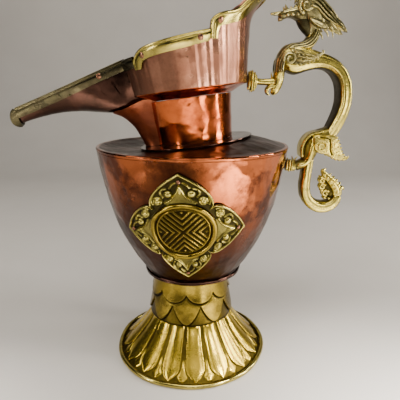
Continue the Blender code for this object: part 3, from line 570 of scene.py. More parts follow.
# The same sheet painted a hot orange, as a painted reflection of the lit copper round the neck.
ORANGE_REFLECTION_COPPER = replace(
    SHADED_COPPER, name="copper_painted_orange_reflection", bright="#D26C36", dull="#9C4824", patina="#3A150A",
    rough=0.24, cloud_mm=17, passage=0.15)
# The painted orange reflection made rougher for the throat: a dull red-brown that mirrors little.
ROUGH_ORANGE_REFLECTION_COPPER = replace(
    ORANGE_REFLECTION_COPPER, name="fire_scaled_copper", bright="#C2714E", dull="#94523A", patina="#2A130B", smooth=0.32,
    rough=0.42)
# Turned copper wire, set as rivets and filed: browner than the sheet.
RIVET_COPPER = MetalFinish(
    "copper_rivet", "#8E6650", "#6A4632", "#3A2016", smooth=0.20, rough=0.32, cloud_mm=4, grain_mm=0.6,
    grain_depth_mm=0.02, mark_mm=2.0, mark_depth_mm=0.02, patina_share=0.3, patina_end=0.2)
# Sheet brass, embossed from behind and chased, then rubbed bright: lemon ridges over olive-brown recesses.
CHASED_BRASS = MetalFinish(
    "chased_brass", "#DABC40", "#A98F30", "#2A220B", smooth=0.19, rough=0.29, cloud_mm=18, grain_mm=1.2,
    grain_depth_mm=0.010, mark_mm=4.0, mark_depth_mm=0.025, patina_share=0.97, patina_end=0.62)
# The same sheet where fingers don't reach: olive ridges that are never rubbed bright.
OLIVE_BRASS = replace(
    CHASED_BRASS, name="weathered_brass", bright="#BDAF56", dull="#8C8242", patina="#221D0F", rough=0.31,
    cloud_mm=14, grain_depth_mm=0.012, mark_depth_mm=0.03, patina_end=0.66)
# The same sheet painted a dark amber as painted shade, nearly brown in its grooves.
SHADED_BRASS = replace(
    OLIVE_BRASS, name="brass_painted_shade", bright="#97812E", dull="#6C5C22", patina="#1C1607",
    smooth=0.15, rough=0.26, grain_depth_mm=0.02, mark_depth_mm=0.05)
# Strip brass, rolled and filed: olive gold with fine handling marks.
STRIP_BRASS = MetalFinish(
    "rolled_brass_strip", "#BDAC58", "#968945", "#3A3116", smooth=0.16, rough=0.28, cloud_mm=12, grain_mm=0.9,
    grain_depth_mm=0.02, mark_mm=5.0, mark_depth_mm=0.05, patina_share=0.7, patina_end=0.4)
# The same strip, tarnished by what is poured over it: grey olive.
TARNISHED_STRIP = replace(
    STRIP_BRASS, name="tarnished_brass_strip", bright="#59533B", dull="#413C2C", patina="#2A2414",
    smooth=0.18, rough=0.30)
# Brass cast in a clay mould and filed: soft gold ridges, brown hollows and a fine mould grain.
CAST_BRASS = MetalFinish(
    "cast_brass", "#DAC75C", "#A1924C", "#2B2310", smooth=0.17, rough=0.32, cloud_mm=8, grain_mm=0.8,
    grain_depth_mm=0.05, mark_mm=2.6, mark_depth_mm=0.05, patina_share=0.97, patina_end=0.62)
# The same casting left to darken where its carving is finest: grey gold over near black hollows.
DARKENED_CASTING = replace(
    CAST_BRASS, name="darkened_cast_brass", bright="#C0B57C", dull="#877F54", patina="#17140D", smooth=0.20,
    rough=0.36, cloud_mm=7, patina_share=0.98, patina_end=0.72)


@dataclass(frozen=True)
class Palette:
    """The ewer's materials, one for each finish."""

    hammered: bpy.types.Material
    pale_reflection: bpy.types.Material
    painted_dark: bpy.types.Material
    orange_reflection: bpy.types.Material
    rough_orange_reflection: bpy.types.Material
    pin: bpy.types.Material
    chased: bpy.types.Material
    olive: bpy.types.Material
    shaded_brass: bpy.types.Material
    strip: bpy.types.Material
    tarnished: bpy.types.Material
    cast: bpy.types.Material
    darkened: bpy.types.Material

    @classmethod
    def make(cls) -> "Palette":
        """Makes every material once."""
        return cls(*(finish.make() for finish in (
            HAMMERED_COPPER, PALE_REFLECTION_COPPER, SHADED_COPPER, ORANGE_REFLECTION_COPPER, ROUGH_ORANGE_REFLECTION_COPPER, RIVET_COPPER,
            CHASED_BRASS, OLIVE_BRASS, SHADED_BRASS, STRIP_BRASS, TARNISHED_STRIP, CAST_BRASS,
            DARKENED_CASTING)))


@dataclass(frozen=True)
class Layout:
    """Main axes and levels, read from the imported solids, and the leaning frame of the neck and cap."""

    axis_x: float
    foot_x: float
    wall_base: float
    wall_top: float
    tilt: float = math.radians(7.2)
    seat_offset: float = 0.0025
    seat_rise: float = 0.0052

    @classmethod
    def from_frame(cls) -> "Layout":
        """Reads the axes from the boxes of the wall and of the foot's bead.

        Returns:
            The layout.
        """
        low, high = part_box("body_wall")
        foot_low, foot_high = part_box("foot_bead")
        return cls((low.x + high.x) / 2, (foot_low.x + foot_high.x) / 2, low.z, high.z)

    def leaning(self, local: Array) -> Array:
        """Turns points of the neck's leaning frame into the ewer's frame.

        Formula: a turn by the tilt about Y, then a shift to the seat of the neck's flange.

        Args:
            local: Points in the leaning frame.

        Returns:
            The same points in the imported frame.
        """
        cosine, sine = math.cos(self.tilt), math.sin(self.tilt)
        x = self.axis_x + self.seat_offset + local[..., 0] * cosine - local[..., 2] * sine
        z = self.wall_top + self.seat_rise + local[..., 0] * sine + local[..., 2] * cosine
        return np.stack([x, local[..., 1], z], -1)


@dataclass
class LotusFoot:
    """The brass foot: a rolled bead, a skirt of long lotus petals and a collar of two rows of scales."""

    layout: Layout
    radius: float = 0.0648
    bead_half: float = 0.0018
    bead_height: float = 0.0040
    skirt_edge: float = 0.0609
    skirt_base: float = 0.0014
    skirt_top: float = 0.0352
    waist: float = 0.0334
    curve: float = 1.22
    petals: int = 17
    petal_turn: float = math.radians(-85.2)
    petal_rise: float = 0.0016
    # Height share and half width in pitches, of a petal and of the tip of one in the row behind
    petal_outline: Rows = (
        (0.0, 0.001), (0.03, 0.004), (0.05, 0.03), (0.08, 0.10), (0.12, 0.21), (0.18, 0.325), (0.25, 0.388),
        (0.34, 0.405), (0.45, 0.402), (0.6, 0.398), (0.8, 0.406), (1.0, 0.425))
    tip_outline: Rows = ((0.0, 0.001), (0.03, 0.004), (0.08, 0.12), (0.2, 0.2), (1.0, 0.2))
    lip: float = 0.0352
    collar_base: float = 0.0355
    collar_top: float = 0.0733
    neck: float = 0.0292
    scales: int = 9
    scale_turn: float = math.radians(5)
    scale_rise: float = 0.0017
    # Height share over which a scale's free edge rises
    scale_step: float = 0.016
    gauge: float = 0.0010

    def bead(self) -> Shape:
        """Builds the rolled edge that the ewer stands on.

        Formula: an oval ring whose radius wavers by a quarter millimetre, as a hand-rolled edge does.

        Returns:
            The shape.
        """
        turn = full_turn(300)
        angle = full_turn(18).T
        waver = 0.00025 * (np.sin(5 * turn + 0.6) + 0.6 * np.sin(9 * turn + 2.0)) - 0.0004
        radius = self.radius - self.bead_half + waver + self.bead_half * np.cos(angle)
        height = self.bead_height / 2 * (1 + np.sin(angle))
        return Shape().loft(turned(radius, height, turn, self.layout.foot_x), joined=True)

    def skirt(self) -> Shape:
        """Builds the flared skirt with its long petals.

        Formula: on each half pitch the columns keep to the petal out to its edge and then cross the gap, so
        the mesh follows the petal's outline; radius falls from rim to waist by a power of the height's share,
        plus the petal's low dome with a raised border, or in the gap the narrow dome of a petal of the row
        behind.

        Returns:
            The shape.
        """
        up = np.linspace(0, 1, 66)[:, None] ** 1.25
        half = np.concatenate([np.linspace(0, 0.96, 12), 1 + np.linspace(0, 1, 9)])
        column = np.concatenate([-half[::-1], half[1:-1]])
        size, sign = np.tile(np.abs(column), self.petals), np.tile(np.sign(column), self.petals)
        centre = np.repeat(np.arange(self.petals), len(column))
        width = lookup(self.petal_outline, up)
        across = np.where(size < 1, width * size, width + (0.5 - width) * (size - 1))
        dome = 0.55 + 0.30 * bump(up - 0.22, 0.16)
        petal = (0.40 + dome * np.clip(1 - size**2, 0, 1) + 0.24 * bump(size - 0.90, 0.07)) * (size < 1)
        petal = petal * np.clip(width / 0.05, 0, 1)
        behind = np.maximum(np.minimum((0.5 - width) * 0.72, lookup(self.tip_outline, up)), 0.003)
        second = 0.66 * np.sqrt(np.clip(1 - ((0.5 - across) / behind) ** 2, 0, 1)) * (size >= 1)
        second = second * np.clip(behind / 0.03, 0, 1) * np.clip((0.40 - up) / 0.14, 0, 1)
        swell = np.maximum(petal, second)
        turn = self.petal_turn + (centre + sign * across) * math.tau / self.petals
        radius = self.waist + (self.skirt_edge - self.waist) * (1 - up) ** self.curve
        radius = radius + self.petal_rise * (swell - 0.45)
        radius = np.where(up < 0.02, self.skirt_edge, np.minimum(radius, self.skirt_edge + 0.0002))
        height = self.skirt_base + (self.skirt_top - self.skirt_base) * up
        face = turned(radius, height, turn, self.layout.foot_x)
        return Shape().sheet(face, self.gauge, np.clip(1.5 * swell, 0.1, 1), joined=True)

    def collar(self) -> Shape:
        """Builds the tapered collar with its overlapping scales.

        Formula: three steps of height; the upper scales end in round lobes and the lower ones in points
        between them; each is highest at its free edge, with a groove cut along it.

        Returns:
            The shape.
        """
        up = np.linspace(0, 1, 110)[:, None]
        turn = full_turn(self.scales * 44)
        level = up * np.ones_like(turn)
        count = (turn - self.scale_turn) * self.scales / math.tau
        high = np.abs((count + 0.5) % 1.0 - 0.5) * 2
        low = np.abs(count % 1.0 - 0.5) * 2
        round_edge = 0.50 + 0.26 * (1 - np.sqrt(1 - (0.97 * high) ** 2))
        point_edge = 0.035 + 0.395 * low**1.8
        above_round, above_point = level - round_edge, level - point_edge
        upper, lower = (np.clip(above / self.scale_step, 0, 1) for above in (above_round, above_point))
        lower_rise = lower * (0.70 - 0.65 * np.clip(above_point, 0, 1) + 0.15 * np.cos(low * math.pi / 2))
        upper_rise = upper * (1.30 - 1.35 * np.clip(above_round, 0, 1) + 0.20 * np.cos(high * math.pi / 2))
        under_round = bump(above_round + 0.018, 0.026)
        under_point = bump(above_point + 0.016, 0.022) * (1 - upper)
        groove = np.maximum(under_round, under_point)
        rise = np.maximum(lower_rise, upper_rise) - 0.30 * groove
        base = lookup([
            (0.0, self.lip - 0.0004), (0.03, self.lip - 0.0005), (0.2, self.lip - 0.0016),
            (0.42, self.lip - 0.0030), (0.68, self.lip - 0.0050), (1.0, self.neck - 0.0006)], up)
        height = self.collar_base + (self.collar_top - self.collar_base) * up
        face = turned(base + self.scale_rise * rise, height, turn, self.layout.foot_x)
        hem = np.clip((level - 0.018) / 0.03, 0, 1)
        # Painted shade on the scales: each darkens away from its raised free edge and the whole collar is
        # held dark; the groove under each edge takes patina.
        relief_and_shade = np.clip(1 - 1.4 * groove, 0, 1) * hem * (0.28 + 0.40 * np.clip(rise, 0, 1))
        return Shape().sheet(face, self.gauge, relief_and_shade, joined=True)

    def build(self, looks: Palette) -> None:
        """Builds and dresses the foot.

        Args:
            looks: Materials.
        """
        self.bead().piece("foot_bead_rolled", looks.strip, Slot.SHEET_BRASS, "foot_bead")
        self.skirt().piece("foot_skirt_petals", looks.chased, Slot.SHEET_BRASS, "foot_skirt")
        self.collar().piece("foot_collar_scales", looks.shaded_brass, Slot.SHEET_BRASS, "foot_collar")


@dataclass
class Vessel:
    """The copper body: a seam ring, a planished wall and a shoulder with a rounded edge."""

    layout: Layout
    base_radius: float = 0.0390
    top_radius: float = 0.0746
    fullness: float = 0.55
    gauge: float = 0.0012
    mark: float = 0.0150
    mark_depth: float = 0.00070
    shoulder_edge: float = 0.0028
    shoulder_round: float = 0.0030
    clearance: float = 0.0003
    seat_gap: float = 0.00045
    seat_radius: float = 0.0458
    bore: float = 0.0280
    seam_drop: float = 0.0032
    # Overhang past the wall's base, height and half thickness of each ring
    seam_rings: Rows = ((0.0, 0.0009, 0.00085), (0.0003, 0.0024, 0.0010))
    # Patches of painted shade: turn and height share of the middle, width in degrees, height share, strength
    shade_patches: Rows = (
        (-106, 0.80, 16, 0.36, 0.85), (-91, 0.94, 11, 0.16, 0.60), (-128, 0.52, 14, 0.30, 0.40),
        (-66, 0.50, 12, 0.22, 0.30), (18, 0.70, 16, 0.30, 0.50), (62, 0.86, 14, 0.26, 0.45),
        (104, 0.60, 18, 0.30, 0.55), (150, 0.80, 15, 0.28, 0.45), (196, 0.62, 15, 0.30, 0.50))

    def radius(self, height: Array | float) -> Array:
        """Gives the wall's outer radius: a rounded rise blended with a straight taper."""
        share = (np.asarray(height) - self.layout.wall_base) / (self.layout.wall_top - self.layout.wall_base)
        blend = self.fullness * (1 - (1 - share) ** 3) + (1 - self.fullness) * share
        return self.base_radius + (self.top_radius - self.base_radius) * blend

    def dents(self, turn: Array, up: Array, girth: float, seed: float) -> Array:
        """Gives how deep the sheet is hammered: broad marks with finer ones over them.

        Args:
            turn: Angles.
            up: Distance across the sheet.
            girth: Length of a full turn.
            seed: Number that sets the pattern.

        Returns:
            Depths, from zero down to the mark depth.
        """
        lap = max(6, round(girth / self.mark))
        broad = planished(turn * lap / math.tau, up / self.mark, lap, seed)
        fine = planished(turn * lap * 2 / math.tau, up * 2 / self.mark, lap * 2, seed + 1.7)
        return self.mark_depth * (1 - np.clip(broad, 0, 1) - 0.22 * np.clip(fine, 0, 1))

    def wall(self) -> Shape:
        """Builds the bucket-shaped wall, with shade painted darker towards the foot and in patches.

        Formula: the wall's radius less the hammer marks' depth; the relief share, which carries the painted
        shade, rises with the height and dips in bells round the middle of each patch.

        Returns:
            The shape.
        """
        height = np.linspace(self.layout.wall_base, self.layout.wall_top, 96)[:, None]
        turn = full_turn(400)
        depth = self.dents(turn, height, math.tau * self.top_radius, 2.0)
        face = turned(self.radius(height) - depth, height, turn, self.layout.axis_x)
        rise = (height - self.layout.wall_base) / (self.layout.wall_top - self.layout.wall_base)
        # Painted shade: the relief share falls towards the foot and in each patch, darkening the copper as if
        # in shade.
        relief_and_shade = 1.1 * rise**1.5
        for middle, level, wide, tall, strength in self.shade_patches:
            away = (turn - math.radians(middle) + math.pi) % math.tau - math.pi
            relief_and_shade = relief_and_shade - strength * bump(away, math.radians(wide)) * bump(rise - level, tall)
        return Shape().sheet(face, self.gauge, np.clip(relief_and_shade, 0, 1), joined=True)

    def shoulder(self) -> Shape:
        """Builds the shoulder plate, with shade painted over it but for its edge, which is left bright.

        Formula: the wall carried up to a crisp edge, then a plain slope that leans with the neck's seat.

        Returns:
            The shape.
        """
        layout, outer = self.layout, self.top_radius
        top = layout.wall_top + self.shoulder_edge
        rim = outer - self.shoulder_round
        seat = layout.wall_top + layout.seat_rise - self.seat_gap - layout.seat_offset * math.tan(layout.tilt)
        start = layout.wall_top + self.clearance
        edge = spline([
            (outer - 0.0004, start), (outer - 0.0002, (start + top) / 2), (outer, top - 0.0010),
            (outer - 0.0003, top - 0.0003), (outer - 0.0012, top), (rim, top)], 22)
        slope = np.linspace((rim, top), (self.seat_radius, seat), 24)[1:]
        flat = np.linspace((self.seat_radius, seat), (self.bore, seat), 10)[1:]
        profile = np.vstack([edge, slope, flat])
        radius, height = profile[:, :1], profile[:, 1:]
        turn = full_turn(320)
        inward = np.clip((rim - radius) / (rim - self.seat_radius), 0, 1)
        lean = inward * radius * np.cos(turn) * math.tan(layout.tilt)
        depth = self.dents(turn, radius, math.tau * outer, 5.0) * np.clip((rim - radius) / 0.004, 0, 1)
        face = turned(radius, height + lean - depth, turn, layout.axis_x)
        # Painted shade: the slope is held near the patina colour, and only the rounded edge keeps bright
        # copper.
        relief_and_shade = 0.12 + 0.88 * np.clip((radius - rim) / 0.0012, 0, 1)
        return Shape().sheet(face, self.gauge, relief_and_shade, joined=True)

    def seam(self) -> Shape:
        """Builds the folded double seam under the wall.

        Formula: two round rings, one on the other, that waver a little.

        Returns:
            The shape.
        """
        turn = full_turn(260)
        angle = full_turn(12).T
        waver = 0.00012 * np.sin(7 * turn) + 0.0001 * np.sin(11 * turn + 1)
        shape = Shape()
        for overhang, height, half in self.seam_rings:
            level = self.layout.wall_base - self.seam_drop + height + half * np.sin(angle)
            radius = self.base_radius + overhang + waver + half * np.cos(angle)
            shape.loft(turned(radius, level, turn, self.layout.axis_x), joined=True)
        return shape

    def build(self, looks: Palette) -> None:
        """Builds and dresses the body.

        Args:
            looks: Materials.
        """
        self.wall().piece("body_wall_hammered", looks.hammered, Slot.COPPER, "body_wall")
        self.shoulder().piece("shoulder_hammered", looks.hammered, Slot.COPPER, "shoulder_plate")
        self.seam().piece("base_seam_folded", looks.painted_dark, Slot.COPPER, "base_seam_ring")
        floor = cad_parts["body_floor"]
        floor.data.materials.clear()
        floor.data.materials.append(looks.hammered)


@dataclass
class Neck:
    """The copper neck on its flange, in the leaning frame."""

    layout: Layout
    vessel: Vessel
    flange_radius: float = 0.0443
    flange_gauge: float = 0.0010
    waver: float = 0.0003
    base_radius: float = 0.0292
    swell: float = 0.00096
    top_radius: float = 0.0324
    base: float = 0.0013
    height: float = 0.0322
    gauge: float = 0.0012

    def flange(self) -> Shape:
        """Builds the thin flange: a flat ring with a rounded edge that lies on the shoulder.

        Formula: an oval section, squared off, carried round the neck.

        Returns:
            The shape.
        """
        turn = full_turn(260)
        middle = (self.flange_radius + self.vessel.bore) / 2
        half = (self.flange_radius - self.vessel.bore) / 2
        across, rise = squared(full_turn(28).T, 0.35)
        waver = self.waver * np.sin(3 * turn + 1) * (across > 0)
        local = turned(middle + half * across + waver - self.waver, self.flange_gauge / 2 * (1 + rise), turn)
        return Shape().loft(self.layout.leaning(local), joined=True)

    def radius(self, up: Array) -> Array:
        """Gives the neck's outer radius at a share of its height: it widens, faster towards the top."""
        waist = (0.4, self.base_radius + self.swell)
        return lookup([(0.0, self.base_radius), waist, (1.0, self.top_radius)], up)

    def pipe(self) -> Shape:
        """Builds the tapered neck, planished as the body is.

        Formula: the neck's radius less the hammer marks' depth.

        Returns:
            The shape.
        """
        up = np.linspace(0, 1, 44)[:, None]
        turn = full_turn(220)
        depth = self.vessel.dents(turn, up * self.height, math.tau * self.top_radius, 9.0) * 0.8
        local = turned(self.radius(up) - depth, self.base + self.height * up, turn)
        return Shape().sheet(self.layout.leaning(local), self.gauge, joined=True)

    def build(self, looks: Palette) -> None:
        """Builds the flange and the neck and dresses them with the given materials."""
        self.flange().piece("neck_flange_trimmed", looks.painted_dark, Slot.COPPER, "neck_flange")
        self.pipe().piece("neck_tube_hammered", looks.orange_reflection, Slot.COPPER, "neck_tube")


def rivet(place: Array, outward: Array, radius: float, height: float) -> Array:
    """Makes a domed rivet head.

    Formula: rings of a low dome, half an oval in section, turned about the outward direction.

    Args:
        place: Middle of the flat back.
        outward: Direction of the dome.
        radius: Radius of the head.
        height: Height of the head.

    Returns:
        Rings from the back to the top.
    """
    outward = unit(outward)
    first = unit(np.cross(outward, (0.3, 0.2, 0.9)))
    second = np.cross(outward, first)
    climb = np.linspace(0, math.pi / 2 * 0.97, 9)[:, None, None]
    angle = full_turn(20).T
    ring = np.cos(angle) * first + np.sin(angle) * second
    return place + radius * np.cos(climb) * ring + height * np.sin(climb) * outward


@dataclass
class Cap:
    """The stepped copper cap over the neck, with its brass strips and rivets, in the leaning frame."""

    layout: Layout
    vessel: Vessel
    neck: Neck
    radius: float = 0.0440
    slope: float = 0.135
    flare_height: float = 0.0450
    flare_slope: float = 0.90
    flare_softness: float = 0.0050
    base: float = 0.0396
    front_half: float = 0.0214
    gauge: float = 0.0012
    band_gap: float = 0.0005
    band_gauge: float = 0.0010
    band_bow: float = 0.0003
    # Half axes of a strip's rolled edge, and its middle's drop below the rim and distance from the back
    roll: Row = (0.0011, 0.0009)
    roll_drop: float = 0.0003
    roll_out: float = 0.0002
    rivet_radius: float = 0.0021
    rivet_height: float = 0.0008
    ripple: float = 0.00007
    clearance: float = 0.0003
    # Where shade is painted on the wall: from so many degrees off the handle side, over so many more, and how
    # much
    shade_from: float = 82.0
    shade_over: float = 18.0
    shade_share: float = 0.85
    # A fainter patch of painted shade: degrees off the handle side, width in degrees and strength
    shade_patch: Row = (48.0, 14.0, 0.55)
    # Strip edges: degrees off the handle side and height above the cap's lower edge, on the rim and below it
    crown_edge: Rows = (
        (66.6, 0.0287, 61.9, 0.0287), (66.2, 0.0345, 61.3, 0.0330), (65.2, 0.0398, 59.8, 0.0351),
        (61.0, 0.0425, 57.5, 0.0361), (55.0, 0.0439, 52.5, 0.0369), (46.0, 0.0451, 44.5, 0.0381),
        (40.0, 0.0479, 37.0, 0.0401), (35.0, 0.0523, 30.0, 0.0435), (29.0, 0.0565, 24.0, 0.0477),
        (19.0, 0.0617, 15.5, 0.0525), (8.0, 0.0651, 6.5, 0.0557), (0.0, 0.0660, 0.0, 0.0567))
    middle_edge: Rows = (
        (132.5, 0.0165, 126.5, 0.0165), (133.2, 0.0215, 124.5, 0.0198), (129.8, 0.0251, 122.5, 0.0213),
        (125.7, 0.0276, 119.5, 0.0221), (120.0, 0.0293, 115.5, 0.0228), (105.0, 0.0311, 105.0, 0.0239),
        (90.0, 0.0324, 90.5, 0.0250), (75.0, 0.0337, 76.0, 0.0267), (67.6, 0.0343, 68.2, 0.0277))
    # The wall's rim: degrees off the handle side, height above the cap's lower edge
    wall_rim: Rows = (
        (0.0, 0.0656), (8.0, 0.0647), (19.0, 0.0613), (29.0, 0.0561), (35.0, 0.0519), (40.0, 0.0475),
        (46.0, 0.0447), (55.0, 0.0435), (61.0, 0.0421), (65.2, 0.0393), (66.4, 0.0339), (75.0, 0.0333),
        (90.0, 0.0320), (105.0, 0.0307), (120.0, 0.0289), (125.7, 0.0272), (130.5, 0.0246), (141.0, 0.0244),
        (160.0, 0.0240))
    rim_end: float = 153.0

    @property
    def band_back(self) -> float:
        """Gives the distance of a strip's back from the middle of the sheet under it."""
        return self.gauge / 2 + self.band_gap

    @property
    def band_face(self) -> float:
        """Gives the distance of a strip's face from the middle of the sheet under it."""
        return self.band_back + self.band_gauge

    def girth(self, rise: Array) -> Array:
        """Gives the sheet's middle radius above the cap's lower edge: a cone that flares at the top."""
        above = rise - self.flare_height
        flare = self.flare_slope * (above + np.hypot(above, self.flare_softness)) / 2
        return self.radius + self.slope * rise + flare

    def lean(self, rise: Array) -> Array:
        """Gives the growth of the radius with the rise."""
        above = rise - self.flare_height
        return self.slope + self.flare_slope * (1 + above / np.hypot(above, self.flare_softness)) / 2

    def point(self, degrees: Array, rise: Array, offset: Array | float = 0.0) -> Array:
        """Places points on the cap, moved out square to the sheet by an offset.

        Args:
            degrees: Angles from the handle side.
            rise: Heights above the cap's lower edge.
            offset: Distances from the sheet's middle.

        Returns:
            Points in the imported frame.
        """
        lean = self.lean(rise)
        length = np.hypot(1, lean)
        height = self.base + rise - offset * lean / length
        return self.layout.leaning(turned(self.girth(rise) + offset / length, height, np.radians(degrees)))

    def wall(self) -> Shape:
        """Builds the cap's wall up to its stepped rim, with shade painted towards the spout.

        Formula: the rise runs from the lower edge to the rim's height at that angle; both ends of the wall
        stand at the spout's half width; hammer marks and upright ripples are taken off the face; the relief
        share, which carries the painted shade, falls with the angle off the handle side, and in a bell round
        the patch.

        Returns:
            The shape.
        """
        share = np.linspace(-1, 1, 381)[None, :]
        up = np.linspace(0, 1, 60)[:, None]
        rise = np.interp(np.abs(share) * self.rim_end, *np.transpose(self.wall_rim)) * up
        degrees = share * (180 - np.degrees(np.arcsin(self.front_half / self.girth(rise))))
        angle = np.radians(degrees)
        ripple = np.sin(31 * angle) + 0.7 * np.sin(47 * angle + 1.3) + 0.6 * np.sin(73 * angle + 0.5)
        depth = self.vessel.dents(angle, rise, math.tau * self.radius, 14.0) * 0.6 + self.ripple * ripple
        front, back = (self.point(degrees, rise, half - depth) for half in (self.gauge / 2, -self.gauge / 2))
        # Painted shade: the relief share drops towards the spout and round the patch, darkening the copper as
        # if in shade.
        away = np.abs(degrees)
        middle, width, strength = self.shade_patch
        painted_dark = self.shade_share * np.clip((away - self.shade_from) / self.shade_over, 0, 1)
        return Shape().slab(front, back, 1 - painted_dark - strength * bump(away - middle, width))

    def ledge(self) -> Shape:
        """Builds the sloping underside between the neck and the cap's wall, open at the spout.

        Formula: a cone from the neck's top to the cap's lower edge, with a soft turn at both ends.

        Returns:
            The shape.
        """
        share = np.linspace(-1, 1, 260)[None, :]
        bottom = self.neck.base + self.neck.height + self.clearance
        rows = spline([
            (self.neck.top_radius - 0.0004, bottom), (self.neck.top_radius + 0.0008, bottom + 0.0004),
            (0.0385, bottom + 0.0030), (self.radius - 0.0004, self.base - 0.0012),
            (self.radius + self.gauge / 2, self.base - self.clearance)], 26)
        radius, height = rows[:, :1], rows[:, 1:]
        turn = share * (math.pi - np.arcsin(self.front_half / radius))
        depth = self.vessel.dents(turn, radius, math.tau * self.radius, 21.0) * 0.4
        return Shape().sheet(self.layout.leaning(turned(radius, height + depth, turn)), self.gauge)

    def bowed(self, across: Array, groove: float, width: float) -> Array:
        """Gives how far a strip's face is from the sheet's middle: bowed, and grooved below its edge."""
        return self.band_face + self.band_bow * (np.sin(math.pi * across) - bump(across - groove, width))

    def strip(self, edges: Array) -> Shape:
        """Builds a strip along the rim with a rolled top edge.

        Formula: straight lines from the lower edge to the rim edge, bowed outward; the rolled edge is a round
        wire along the rim.

        Args:
            edges: Rows of rim angle, rim height, lower angle and lower height.

        Returns:
            The shape.
        """
        across = np.linspace(0, 1, 14)[:, None]
        degrees = edges[:, 2] + (edges[:, 0] - edges[:, 2]) * across
        rise = edges[:, 3] + (edges[:, 1] - edges[:, 3]) * across
        shape = Shape().slab(
            self.point(degrees, rise, self.bowed(across, 0.80, 0.07)),
            self.point(degrees, rise, self.band_back), 1 - 0.9 * bump(across - 0.80, 0.08))
        top, out = self.rim_wire(edges[:, 0], edges[:, 1])
        ends = round_ends(len(edges), 0.02, 0.02)
        return shape.loft(tube(top, out, *(half * ends for half in self.roll), 12))

    def rim_wire(self, degrees: Array, rim: Array) -> tuple[Array, Array]:
        """Gives the middle line of a rolled edge along the rim, and the outward directions along it."""
        line = self.point(degrees, rim - self.roll_drop, self.band_back + self.roll_out)
        return line, self.point(degrees, rim, 0.01) - self.point(degrees, rim)

    def rivets(self) -> Shape:
        """Builds the rivet heads on the strips.

        Returns:
            The shape, with one dome per rivet.
        """
        shape = Shape()
        face = self.band_face
        for edge, index in ((self.crown_edge, 3), (self.middle_edge, 3), (self.middle_edge, 7)):
            rim, rise, low, low_rise = edge[index]
            for side in Side:
                degrees = np.array(side.value * (rim + low) / 2)
                level = np.array((rise + low_rise) / 2)
                place = self.point(degrees, level, face)
                outward = self.point(degrees, level, 2 * face) - place
                shape.loft(rivet(place, outward, self.rivet_radius, self.rivet_height))
        return shape

    def build(self, looks: Palette) -> None:
        """Builds and dresses the cap.

        Args:
            looks: Materials.
        """
        self.wall().piece("cap_wall_hammered", looks.pale_reflection, Slot.COPPER, "collar_wall")
        self.ledge().piece("cap_ledge", looks.orange_reflection, Slot.COPPER, "collar_ledge")
        half = spline(self.crown_edge, 150)
        crown = np.vstack([half, half[-2::-1] * (-1, 1, -1, 1)])
        self.strip(crown).piece("crown_strip", looks.strip, Slot.SHEET_BRASS, "crown_band")
        middle = spline(self.middle_edge, 150)
        for side in Side:
            name = side.name.lower()
            edges = middle * (side.value, 1, side.value, 1)
            self.strip(edges).piece(
                "middle_strip_" + name, looks.strip, Slot.SHEET_BRASS, "middle_band_" + name)
        rows = ("crown", "middle_front", "middle_rear")
        nodes = [f"rivet_{row}_{side.name.lower()}" for row in rows for side in Side]
        self.rivets().piece("cap_rivet_heads", looks.pin, Slot.COPPER, *nodes)


